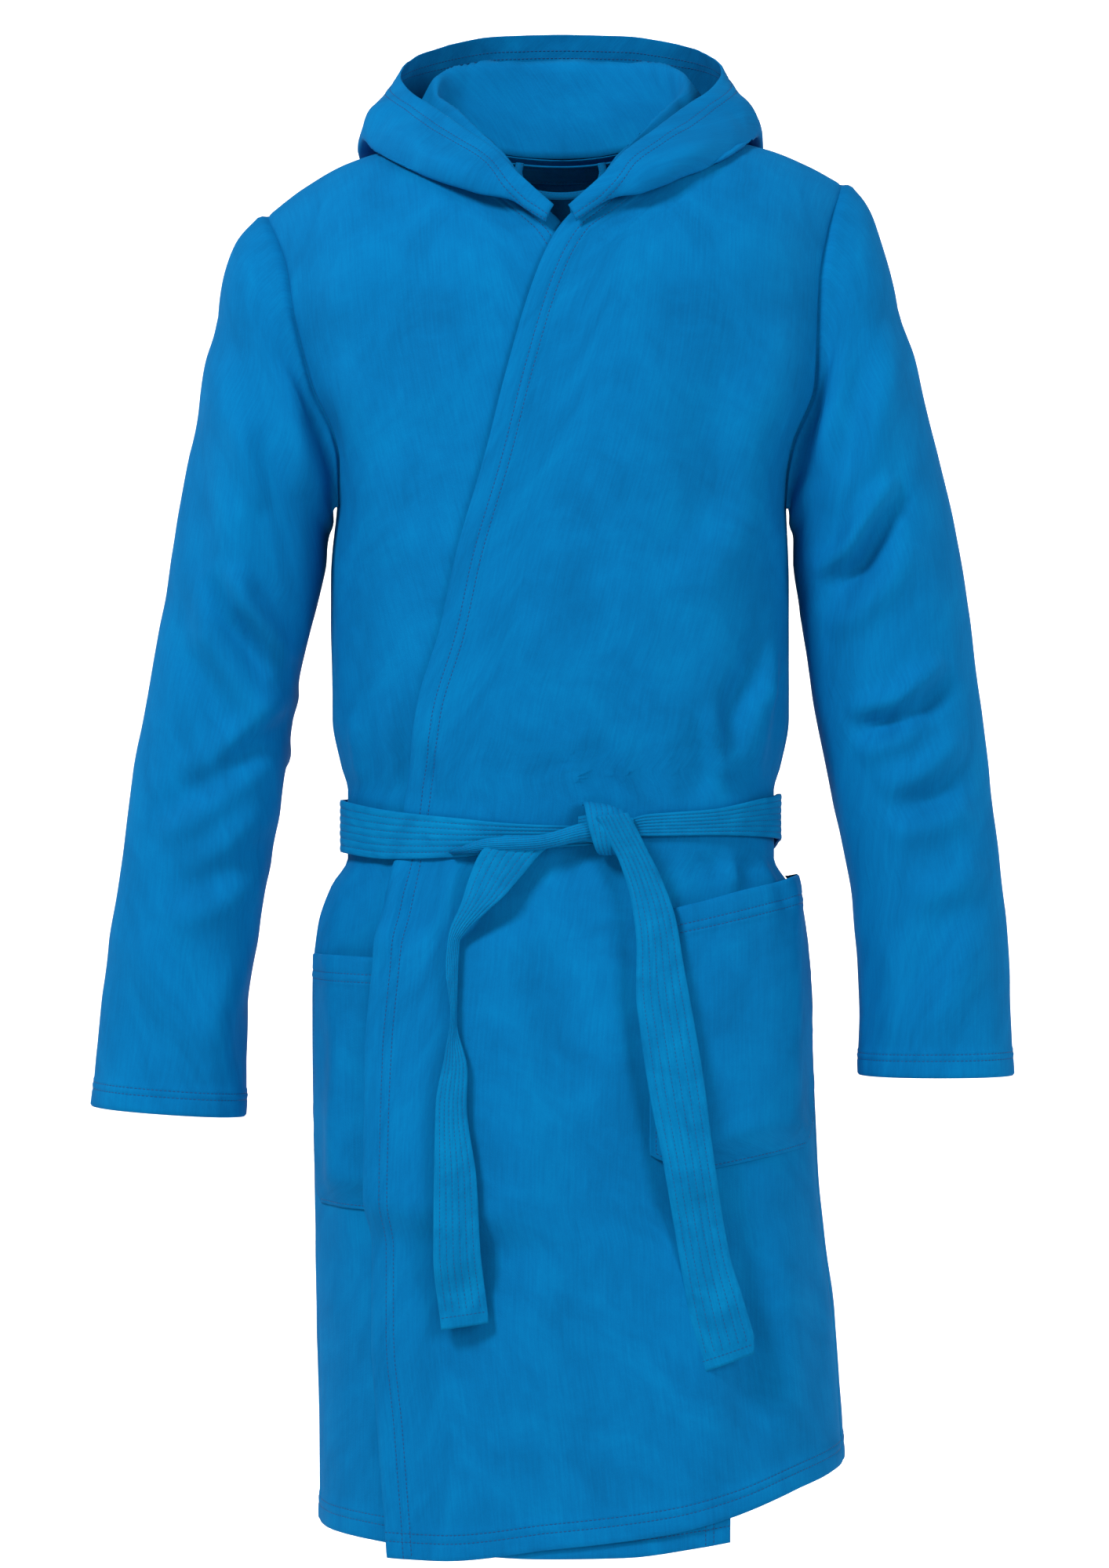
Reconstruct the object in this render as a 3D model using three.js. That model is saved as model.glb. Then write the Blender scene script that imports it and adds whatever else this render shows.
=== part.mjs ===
// Hooded wrap bathrobe, in the shape it has when worn and tied.
// Millimetres. +Z up, the robe faces -Y, +X is the wearer's left.
// Origin: midway between the middles of the two shoulder seams.
import * as THREE from "three";

// ---- cloth and clearances ----
const clothThickness = 2; // one sheet of cloth with its turned edges
const seamGap = 0.4; // clearance between two sewn pieces
const armholeSeam = 0.7; // the same at the armholes, measured across
const layerGap = 1.4; // clearance between one layer and the next

// ---- body ----
const waistDrop = 486; // shoulder level to the middle of the belt
const skirtLength = 516; // middle of the belt to the lowest point of the hem
const armholeDrop = 256; // shoulder level to the underarm
const shoulderRound = 110; // height over which the shoulders round off
const centreY = 6; // middle of the body, front to back
const sectionPower = 2.5; // squareness of the body's section
const neckHalf = 80; // middle of the neck to the shoulder seam's inner end
const chestHalf = 166; // half widths of the body
const waistHalf = 155;
const hipHalf = 181;
const chestFront = 118; // depths from the middle of the body
const chestBack = 110;
const waistFront = 101;
const waistBack = 88;
const hemFront = 134;
const hemBack = 126;
const seamEdgeShare = 0.24; // how far forward of the middle the side seam lies

// Values that differ between the wearer's left (+1) and right (-1) side.
const SIDES = {
  1: {
    shoulderTip: 205,
    tipDrop: 19,
    neckHeight: 18,
    underarm: 162,
    hemHalf: 208,
    hemRise: 58,
    notchReach: 29,
    armholeEase: [[0, 1], [0.16, 0.72], [0.32, 0.56], [0.64, 0.48], [0.82, 0.11], [0.92, 0.02], [1, 0]],
  },
  [-1]: {
    shoulderTip: 214,
    tipDrop: 42,
    neckHeight: 14,
    underarm: 160,
    hemHalf: 175,
    hemRise: 14,
    notchReach: 24,
    armholeEase: [[0, 1], [0.2, 0.7], [0.34, 0.61], [0.48, 0.48], [0.62, 0.32], [0.76, 0.07], [0.85, 0], [1, 0]],
  },
};

// ---- front edges, neckline ----
const notchDrop = 35; // shoulder level to the notch where hood and front meet
const frontBand = 19; // width of the stitched band along the front edge
const overReach = 133; // how far the over front passes the middle at the hip
const underReach = 119; // the same of the under front at the hem
const backNeckHeight = 4; // middle of the back neckline
const hemBand = 20; // height of the turned hem at the bottom and the cuffs

// ---- pockets ----
const pocketSeat = 0.95; // clearance of a pocket's sewn edges
const pocketSewn = 26; // width over which the pocket settles to its sewn edge
// `gape` is the room between a pocket and its front; `down` and `tall` place it below the belt's middle.
const POCKETS = {
  1: { gape: 11, inner: 62, outer: hipHalf - 1, down: 63, tall: 187, mouthRise: 26, bottomRise: 22, corner: 18 },
  [-1]: { gape: 9, inner: 24, outer: hipHalf - 3, down: 98, tall: 180, mouthRise: 6, bottomRise: 8, corner: 18 },
};
for (const p of Object.values(POCKETS)) {
  p.mouth = -waistDrop - p.down;
  p.bottom = p.mouth - p.tall;
}

// ---- sleeves ----
const pivotX = 205; // shoulder point, where a sleeve turns
const pivotDrop = 45;
const capReach = 90; // shoulder point to the plane where the sleeve proper starts
const jointGap = 0.5; // clearance between the sleeve and its cap
const capPlane = new THREE.Vector3(0.85, 0, -0.527);
const SLEEVES = {
  1: {
    sections: [
      [212, 2, -212, 75, 62, 58],
      [230, 0, -300, 61, 60, 22],
      [243, -3, -385, 60, 57, 12],
      [256, -7, -468, 57, 54, 9],
      [267, -11, -545, 55, 52, 6],
      [270, -14, -610, 55, 51, 2],
      [271, -18, -666, 56, 51, 0],
    ],
  },
  [-1]: {
    sections: [
      [213, 2, -212, 75, 62, 58],
      [229, 0, -300, 58, 60, 24],
      [245, -3, -385, 54, 57, 14],
      [257, -7, -462, 56, 54, 12],
      [267, -11, -530, 54, 52, 9],
      [278, -14, -605, 53, 51, 6],
      [283, -18, -692, 56, 51, 4],
    ],
  },
};

// ---- belt ----
const beltWidth = 38;
const beltThickness = 3.2;
const beltGap = 1;
const knotX = 30; // middle of the knot
const knotSize = new THREE.Vector3(34, 20, 42);
const tailGap = 0.7; // clearance of the tails in front of what they hang on
const loopWidth = 10;
const loopHeight = 58;
const loopGap = 1.2; // clearance between a belt loop and the belt
const loopSeat = 0.8; // clearance of a belt loop's sewn ends

// ---- hood ----
const hoodBand = 18; // width of the stitched band along the hood's rim
const hoodRest = 3; // clearance between the lying hood and the shoulders
const hoodSeam = 0.9; // clearance of the hood above the neckline
const crownHalf = 60; // half width of the part of the hood that lifts
// Each station: seam, stand top, cavity, bottom, outer bulge and rim, as [outward, y, z].
const HOOD = [
  { reach: 0, top: [30, -84, -25], cavity: [33, -93, -32], bottom: [36, -101, -43], bulge: [36, -104, -34], rim: [31, -99, -23] },
  { reach: 0.28, top: [41, -68, -7], cavity: [47, -80, -20], bottom: [56, -98, -39], bulge: [58, -100, -24], rim: [45, -82, -6] },
  { reach: 0.58, top: [56, -48, 10], cavity: [66, -58, -6], bottom: [80, -86, -29], bulge: [86, -86, -12], rim: [67, -62, 12] },
  { reach: 0.84, top: [74, -27, 29], cavity: [86, -36, 12], bottom: [117, -52, -12], bulge: [116, -50, 8], rim: [84, -42, 27] },
  { reach: 0.93, top: [83, -12, 38], cavity: [95, -18, 20], bottom: [134, -26, 2], bulge: [127, -26, 23], rim: [95, -28, 36] },
  { reach: 1, top: [90, 2, 46], cavity: [101, -2, 28], bottom: [144, 5, 14], bulge: [136, -6, 34], rim: [106, -16, 44] },
];
const HOOD_BACK = [
  { x: 76, top: [89, 33, 64], cavity: [107, 36, 38], bottom: [146, 44, 0], bulge: [140, 44, 34], rim: [118, 20, 64] },
  { x: 70, top: [78, 50, 72], cavity: [98, 74, 24], bottom: [118, 104, -40], bulge: [124, 112, 14], rim: [104, 70, 86] },
  { x: crownHalf, top: [60, 60, 77], cavity: [60, 98, 6], bottom: [60, 132, -96], bulge: [60, 156, -26], rim: [60, 110, 103] },
  { x: 30, top: [30, 66, 79], cavity: [30, 103, 0], bottom: [30, 134, -128], bulge: [30, 166, -50], rim: [30, 118, 106] },
  { x: 0, top: [0, 68, 80], cavity: [0, 105, -4], bottom: [0, 135, -140], bulge: [0, 169, -58], rim: [0, 120, 107] },
];

// ---- colours ----
const cloth = { color: 0x0070b6, roughness: 0.92, metalness: 0 };
const clothDark = { color: 0x00609f, roughness: 0.92, metalness: 0 };
const beltCloth = { color: 0x0a7bbf, roughness: 0.88, metalness: 0 };

const root = new THREE.Group();
root.name = "bathrobe";

// ---------------------------------------------------------------- helpers

/** Monotone curve through [position, value] pairs, level past its ends. */
function curve(table) {
  const n = table.length;
  const h = [];
  const d = [];
  for (let i = 0; i < n - 1; i++) {
    h.push(table[i + 1][0] - table[i][0]);
    d.push((table[i + 1][1] - table[i][1]) / h[i]);
  }
  const m = [d[0]];
  for (let i = 1; i < n - 1; i++) m.push(d[i - 1] * d[i] <= 0 ? 0 : (2 * d[i - 1] * d[i]) / (d[i - 1] + d[i]));
  m.push(d[n - 2]);
  return (x) => {
    if (x <= table[0][0]) return table[0][1];
    if (x >= table[n - 1][0]) return table[n - 1][1];
    let i = 0;
    while (x > table[i + 1][0]) i++;
    const t = (x - table[i][0]) / h[i];
    const t2 = t * t;
    const t3 = t2 * t;
    return (
      (2 * t3 - 3 * t2 + 1) * table[i][1] +
      (t3 - 2 * t2 + t) * h[i] * m[i] +
      (3 * t2 - 2 * t3) * table[i + 1][1] +
      (t3 - t2) * h[i] * m[i + 1]
    );
  };
}

const lerp = (a, b, t) => a + (b - a) * t;
const clamp = (x, a, b) => Math.min(b, Math.max(a, x));
const smooth = (a, b, x) => {
  const t = clamp((x - a) / (b - a), 0, 1);
  return t * t * (3 - 2 * t);
};
const vec = (x, y, z) => new THREE.Vector3(x, y, z);

/** Closed body between two grids of points; `wrap` joins the last column to the first. */
function shell(outer, inner, wrap = false) {
  const rows = outer.length;
  const cols = outer[0].length;
  const position = [];
  for (const grid of [outer, inner]) for (const row of grid) for (const p of row) position.push(p.x, p.y, p.z);
  const id = (layer, i, j) => layer * rows * cols + i * cols + (j % cols);
  const index = [];
  const quad = (a, b, c, d) => index.push(a, b, c, a, c, d);
  const lastCol = wrap ? cols : cols - 1;
  for (let i = 0; i < rows - 1; i++) {
    for (let j = 0; j < lastCol; j++) {
      quad(id(0, i, j), id(0, i, j + 1), id(0, i + 1, j + 1), id(0, i + 1, j));
      quad(id(1, i, j), id(1, i + 1, j), id(1, i + 1, j + 1), id(1, i, j + 1));
    }
  }
  for (let j = 0; j < lastCol; j++) {
    quad(id(0, 0, j), id(1, 0, j), id(1, 0, j + 1), id(0, 0, j + 1));
    quad(id(0, rows - 1, j), id(0, rows - 1, j + 1), id(1, rows - 1, j + 1), id(1, rows - 1, j));
  }
  if (!wrap) {
    for (let i = 0; i < rows - 1; i++) {
      quad(id(0, i, 0), id(0, i + 1, 0), id(1, i + 1, 0), id(1, i, 0));
      quad(id(0, i, cols - 1), id(1, i, cols - 1), id(1, i + 1, cols - 1), id(0, i + 1, cols - 1));
    }
  }
  let volume = 0;
  const at = (k) => vec(position[3 * k], position[3 * k + 1], position[3 * k + 2]);
  for (let k = 0; k < index.length; k += 3) {
    volume += at(index[k]).dot(at(index[k + 1]).cross(at(index[k + 2])));
  }
  if (volume < 0) for (let k = 0; k < index.length; k += 3) [index[k + 1], index[k + 2]] = [index[k + 2], index[k + 1]];
  const geometry = new THREE.BufferGeometry();
  geometry.setAttribute("position", new THREE.Float32BufferAttribute(position, 3));
  geometry.setIndex(index);
  const flat = geometry.toNonIndexed();
  flat.computeVertexNormals();
  return flat;
}

/** Adds one named piece to a group. */
function piece(name, geometry, look, group = root) {
  const mesh = new THREE.Mesh(geometry, new THREE.MeshStandardMaterial(look));
  mesh.name = name;
  group.add(mesh);
  return mesh;
}

// ---------------------------------------------------------------- body form

/** Station along the body: 0 shoulder, 1 waist, 2 hem. */
const station = (z) => (z >= -waistDrop ? -z / waistDrop : 1 + (-waistDrop - z) / skirtLength);

const frontDepth = curve([
  [0, chestFront - 14], [0.2, chestFront - 6], [0.45, chestFront], [0.65, chestFront - 2],
  [0.85, waistFront + 7], [0.95, waistFront], [1.045, waistFront], [1.11, waistFront + 6], [1.25, lerp(waistFront, hemFront, 0.45)],
  [1.5, lerp(waistFront, hemFront, 0.7)], [2, hemFront],
]);
const backDepth = curve([
  [0, chestBack - 12], [0.2, chestBack], [0.45, chestBack], [0.65, chestBack - 8],
  [0.85, waistBack + 4], [0.95, waistBack], [1.045, waistBack], [1.11, waistBack + 9], [1.25, lerp(waistBack, hemBack, 0.58)],
  [1.5, lerp(waistBack, hemBack, 0.8)], [2, hemBack],
]);
const frontArmholeShare = curve([[0, 0.5], [0.5, 0.48], [0.8, 0.38], [1, seamEdgeShare]]);
const seamAngle = Math.acos(seamEdgeShare ** (sectionPower / 2));
const backArmholeAngle = curve([[0, 2.0], [0.5, 1.99], [0.76, 1.88], [0.9, 1.66], [1, seamAngle]]);
const widthShare = (share) => (1 - share ** sectionPower) ** (1 / sectionPower);

const sideTables = {};
for (const side of [1, -1]) {
  const s = SIDES[side];
  const seamWidth = widthShare(seamEdgeShare);
  sideTables[side] = {
    ease: curve(s.armholeEase),
    body: curve([
      [0.527, s.underarm / seamWidth], [0.628, chestHalf], [0.84, chestHalf], [0.91, waistHalf + 5],
      [0.95, waistHalf], [1.045, waistHalf], [1.085, waistHalf + 12], [1.14, hipHalf - 4], [1.22, hipHalf], [1.5, lerp(hipHalf, s.hemHalf, 0.25)],
      [1.72, lerp(hipHalf, s.hemHalf, 0.72)], [2, s.hemHalf],
    ]),
    shoulder: curve([
      [0, 16], [neckHalf, s.neckHeight], [lerp(neckHalf, s.shoulderTip, 0.3), lerp(s.neckHeight, -s.tipDrop, 0.13)],
      [lerp(neckHalf, s.shoulderTip, 0.56), lerp(s.neckHeight, -s.tipDrop, 0.32)],
      [lerp(neckHalf, s.shoulderTip, 0.8), lerp(s.neckHeight, -s.tipDrop, 0.64)],
      [s.shoulderTip, -s.tipDrop],
    ]),
  };
}

/** Share of the way down the armhole, 0 at the shoulder tip and 1 at the underarm. */
const armholeShare = (side, z) => clamp((-SIDES[side].tipDrop - z) / (armholeDrop - SIDES[side].tipDrop), 0, 1);

/** Half width of the full section at height z. */
function halfWidth(side, z) {
  const s = SIDES[side];
  if (z <= -armholeDrop) return sideTables[side].body(station(z));
  const u = armholeShare(side, z);
  const edge = lerp(s.underarm, s.shoulderTip, sideTables[side].ease(u));
  return edge / widthShare(frontArmholeShare(u));
}

const frontSeamAngle = (side, z) =>
  z <= -armholeDrop ? seamAngle : Math.acos(frontArmholeShare(armholeShare(side, z)) ** (sectionPower / 2));
const backSeamAngle = (side, z) => (z <= -armholeDrop ? seamAngle : backArmholeAngle(armholeShare(side, z)));

/** Point of the body's outer surface; angle 0 is the middle front, +-PI the middle back. */
function skin(angle, z) {
  const side = angle < 0 ? -1 : 1;
  const a = Math.abs(angle);
  const out = halfWidth(side, z) * Math.abs(Math.sin(a)) ** (2 / sectionPower);
  const c = Math.cos(a);
  const depth = (c > 0 ? -frontDepth(station(z)) : backDepth(station(z))) * Math.abs(c) ** (2 / sectionPower);
  const fall = clamp((sideTables[side].shoulder(out) - z) / shoulderRound, 0, 1);
  return vec(side * out, centreY + depth * Math.sqrt(1 - (1 - fall) ** 2), z);
}

/** Outward normal of that surface. */
function skinNormal(angle, z) {
  const e = 0.004;
  const across = skin(angle + e, z).sub(skin(angle - e, z));
  const up = skin(angle, z + 0.4).sub(skin(angle, z - 0.4));
  return across.cross(up).normalize();
}

const angleAt = (x, z) => Math.sign(x) * Math.asin(Math.min(1, Math.abs(x) / halfWidth(x < 0 ? -1 : 1, z)) ** (sectionPower / 2));
const backAngleAt = (x, z) => (x < 0 ? -1 : 1) * (Math.PI - Math.abs(angleAt(x, z)));

// Rows: level of each, measured down from the top edge.
const LEVELS = [0, 2, 7, 17, 32, 54, 82, 112, 148, 186, 222, armholeDrop - 12, armholeDrop].map((v) => -v);
const armholeRows = LEVELS.length - 1;
for (const t of [0.6, 0.7, 0.8, 0.88, 0.93, 0.955, 1.04, 1.055, 1.085, 1.12, 1.17, 1.24, 1.33, 1.42, 1.5, 1.65, 1.8]) {
  LEVELS.push(t <= 1 ? -waistDrop * t : -waistDrop - skirtLength * (t - 1));
}
LEVELS.push(-waistDrop - skirtLength + hemBand);
const hemRow = LEVELS.length - 1;
LEVELS.push(-waistDrop - skirtLength);

/** Top edge of the front: shoulder seam, then neckline down to the notch. */
function frontTop(x) {
  const side = x < 0 ? -1 : 1;
  const s = SIDES[side];
  const out = Math.abs(x);
  if (out >= neckHalf) return sideTables[side].shoulder(out);
  const q = clamp((neckHalf - out) / (neckHalf - s.notchReach), 0, 1);
  return lerp(s.neckHeight, -notchDrop, q ** 0.85);
}

/** Top edge of the back: shoulder seam, then the back neckline. */
function backTop(x) {
  const side = x < 0 ? -1 : 1;
  const out = Math.abs(x);
  if (out >= neckHalf) return sideTables[side].shoulder(out);
  return lerp(backNeckHeight, SIDES[side].neckHeight, (out / neckHalf) ** 2);
}

const overHemRise = curve([
  [-underReach, 0], [-86, 0], [-8, 9], [21, 12], [80, 20], [120, 30], [161, 44], [SIDES[1].hemHalf, SIDES[1].hemRise],
]);
const underHemRise = curve([[-SIDES[-1].hemHalf, SIDES[-1].hemRise], [-121, 10], [-60, 4], [-10, 2], [45, 3], [98, 9], [underReach, 12]]);
const backHemRise = curve([
  [-SIDES[-1].hemHalf, SIDES[-1].hemRise], [-90, 9], [0, 12], [90, 24], [SIDES[1].hemHalf, SIDES[1].hemRise],
]);

/** Height of a point in row `level`, given its place across. */
function heightAt(level, x, top, rise) {
  const keepTop = 1 - smooth(0, 200, -level);
  const atHem = smooth(waistDrop + 0.55 * skirtLength, waistDrop + skirtLength, -level);
  return level + top(x) * keepTop + rise(x) * atHem;
}

/** Finds angle and height of a grid point, where each depends on the other. */
function settle(level, angleOf, top, rise) {
  let z = level;
  let angle = angleOf(z);
  for (let k = 0; k < 8; k++) {
    z = heightAt(level, skin(angle, z).x, top, rise);
    angle = angleOf(z);
  }
  return { angle, z };
}

// ---------------------------------------------------------------- fronts

// How far each front passes the middle, from the notch to the hem.
const overEdge = curve([
  [notchDrop / waistDrop, -SIDES[1].notchReach], [0.1255, 0], [0.193, 17], [0.327, 37], [0.459, 53], [0.599, 73],
  [0.712, 85], [0.825, 101], [0.918, overReach - 26], [1, overReach - 21], [1.045, overReach - 17],
  [1.109, overReach - 10], [1.19, overReach - 6], [1.318, overReach - 1], [1.686, overReach],
  [1.831, overReach - 5], [2, overReach - 12],
]);
const underEdge = curve([
  [notchDrop / waistDrop, -SIDES[-1].notchReach], [0.1255, 2], [0.193, 18], [0.327, 37], [0.459, 52], [0.6, 70],
  [0.8, underReach - 25], [1, underReach - 11], [1.2, underReach - 1], [2, underReach],
]);
const edgeX = (side, z) => -side * (side > 0 ? overEdge : underEdge)(station(z));

/** Width of the front band measured across, at height z. */
function bandAcross(side, z) {
  const below = Math.min(z, -notchDrop - 10);
  const slope = (edgeX(side, below + 4) - edgeX(side, below - 4)) / 8;
  return frontBand * Math.sqrt(1 + slope * slope);
}

/** Signed distance inside a pocket's outline, positive inside. */
function insidePocket(side, x, z, openTop) {
  const p = POCKETS[side];
  const out = side * x;
  const across = clamp((out - p.inner) / (p.outer - p.inner), 0, 1);
  const top = p.mouth + p.mouthRise * across + openTop;
  const bottom = p.bottom + p.bottomRise * across;
  return Math.min(out - p.inner, p.outer - out, top - z, z - bottom);
}

/** Room between a pocket and the front it is sewn to. */
const pocketRoom = (side, x, z) =>
  pocketSeat + (POCKETS[side].gape - pocketSeat) * smooth(1, pocketSewn, insidePocket(side, x, z, 200));

/** Distance from the body's surface to the inner face of the over front. */
function coverOffset(x, z) {
  const under = edgeX(-1, z);
  const start = Math.max(under + 20, 12);
  const release = smooth(start, start + 40, x);
  const bump = (POCKETS[-1].gape + clothThickness + 0.4) * smooth(-24, 10, insidePocket(-1, x, z, 16));
  return lerp(layerGap + bump, -clothThickness, release);
}

/** Grid of a front between two column functions; returns outer and inner points. */
function frontGrid(side, angleColumns, firstRow, lastRow, thickness = clothThickness) {
  const top = frontTop;
  const rise = side > 0 ? overHemRise : underHemRise;
  const outer = [];
  const inner = [];
  for (let i = firstRow; i <= lastRow; i++) {
    const rowOut = [];
    const rowIn = [];
    for (let j = 0; j < angleColumns.length; j++) {
      const { angle, z } = settle(LEVELS[i], (h) => angleColumns[j](h), top, rise);
      const p = skin(angle, z);
      const onSeam = j === angleColumns.length - 1 && angleColumns.seam;
      const onShoulder = i === 0 && Math.abs(p.x) >= neckHalf - 1;
      const n = onShoulder ? shoulderNormal(side, p.x) : skinNormal(angle, z);
      if (onSeam && i >= armholeRows) p.y -= seamGap / 2;
      if (onShoulder) p.y -= seamGap / 2;
      const offset = side > 0 ? coverOffset(p.x, z) : -clothThickness;
      rowOut.push(p.clone().addScaledVector(n, offset + thickness));
      rowIn.push(p.clone().addScaledVector(n, offset));
    }
    outer.push(rowOut);
    inner.push(rowIn);
  }
  return [outer, inner];
}

/** Upward normal of the shoulder seam. */
function shoulderNormal(side, x) {
  const s = sideTables[side].shoulder;
  const slope = (s(Math.abs(x) + 2) - s(Math.abs(x) - 2)) / 4;
  return vec(-side * slope, 0, 1).normalize();
}

function bandEndAngle(side, z, extra) {
  return angleAt(edgeX(side, z) + side * (bandAcross(side, z) + 4 * extra), z);
}

for (const side of [1, -1]) {
  const name = side > 0 ? "left" : "right";
  const count = 14;
  const columns = [];
  for (let j = 0; j <= count; j++) {
    columns.push((z) => lerp(bandEndAngle(side, z, seamGap), side * frontSeamAngle(side, z), j / count));
  }
  columns.seam = true;
  piece("front_panel_" + name, shell(...frontGrid(side, columns, 0, hemRow)), cloth);
  const bandMiddle = (z) => angleAt(edgeX(side, z) + (side * bandAcross(side, z)) / 2, z);
  const band = [(z) => angleAt(edgeX(side, z), z), bandMiddle, (z) => bandEndAngle(side, z, 0)];
  piece("front_band_" + name, shell(...frontGrid(side, band, 0, hemRow)), clothDark);
  const hemColumns = [(z) => angleAt(edgeX(side, z), z), ...columns];
  hemColumns.seam = true;
  const [outer, inner] = frontGrid(side, hemColumns, hemRow, hemRow + 1);
  for (const grid of [outer, inner]) for (const p of grid[0]) p.z -= seamGap;
  piece("hem_front_" + name, shell(outer, inner), clothDark);
}

// ---------------------------------------------------------------- back

const backColumns = [];
const backCount = 24;
for (let j = 0; j <= backCount; j++) {
  backColumns.push((z) => {
    const t = j / backCount;
    const right = -backSeamAngle(-1, z);
    const left = backSeamAngle(1, z);
    return t < 0.5 ? lerp(right, -Math.PI, t * 2) : lerp(Math.PI, left, (t - 0.5) * 2);
  });
}

function backGrid(firstRow, lastRow) {
  const outer = [];
  const inner = [];
  for (let i = firstRow; i <= lastRow; i++) {
    const rowOut = [];
    const rowIn = [];
    for (let j = 0; j <= backCount; j++) {
      const { angle, z } = settle(LEVELS[i], (h) => backColumns[j](h), backTop, backHemRise);
      const p = skin(angle, z);
      const side = angle < 0 ? -1 : 1;
      const onShoulder = i === 0 && Math.abs(p.x) >= neckHalf - 1;
      const n = onShoulder ? shoulderNormal(side, p.x) : skinNormal(angle, z);
      if ((j === 0 || j === backCount) && i >= armholeRows) p.y += seamGap / 2;
      if (onShoulder) p.y += seamGap / 2;
      rowOut.push(p.clone());
      rowIn.push(p.clone().addScaledVector(n, -clothThickness));
    }
    outer.push(rowOut);
    inner.push(rowIn);
  }
  return [outer, inner];
}

piece("back_panel", shell(...backGrid(0, hemRow)), cloth);
const backHem = backGrid(hemRow, hemRow + 1);
for (const grid of backHem) for (const p of grid[0]) p.z -= seamGap;
piece("hem_back", shell(...backHem), clothDark);

// ---------------------------------------------------------------- sleeves

/** Closed ring of points and thickness directions along one armhole. */
function armholeRing(side) {
  const ring = [];
  const rise = () => 0;
  const at = (i, angleOf, top) => {
    const { angle, z } = settle(LEVELS[i], angleOf, top, rise);
    const p = skin(angle, z);
    const n = i === 0 ? shoulderNormal(side, p.x) : skinNormal(angle, z);
    return { p, n };
  };
  for (let i = 0; i <= armholeRows; i++) ring.push(at(i, (z) => side * frontSeamAngle(side, z), frontTop));
  for (let i = armholeRows - 1; i > 0; i--) ring.push(at(i, (z) => side * backSeamAngle(side, z), backTop));
  for (const r of ring) {
    // Under the arm the sleeve's wall turns to face down, so it lies above the side seam.
    const under = smooth(0.7, 1, armholeShare(side, r.p.z));
    r.p.x += side * armholeSeam;
    r.p.z += under * armholeSeam;
    r.n.lerp(vec(0, 0, -1), under).normalize();
    r.inner = r.p.clone().addScaledVector(r.n, -clothThickness);
  }
  return ring;
}

/** Ring of a sleeve section: [outward, y, z, half across, half deep, tilt in degrees]. */
function sleeveRing(side, section, shares) {
  const [cx, cy, cz, across, deep, tilt] = section;
  const a = THREE.MathUtils.degToRad(tilt);
  const dir = vec(side * Math.cos(a), 0, Math.sin(a)); // towards the outer side
  return shares.map((t) => {
    const turn = 2 * Math.PI * t;
    const c = Math.cos(turn);
    const s = Math.sin(turn);
    const c2 = Math.sign(c) * Math.abs(c) ** 0.9;
    const s2 = Math.sign(s) * Math.abs(s) ** 0.9;
    const p = vec(side * cx, cy, cz).addScaledVector(dir, across * c2).add(vec(0, -deep * s2, 0));
    const n = dir.clone().multiplyScalar(c / across).add(vec(0, -s / deep, 0)).normalize();
    return { p, inner: p.clone().addScaledVector(n, -clothThickness) };
  });
}

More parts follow.
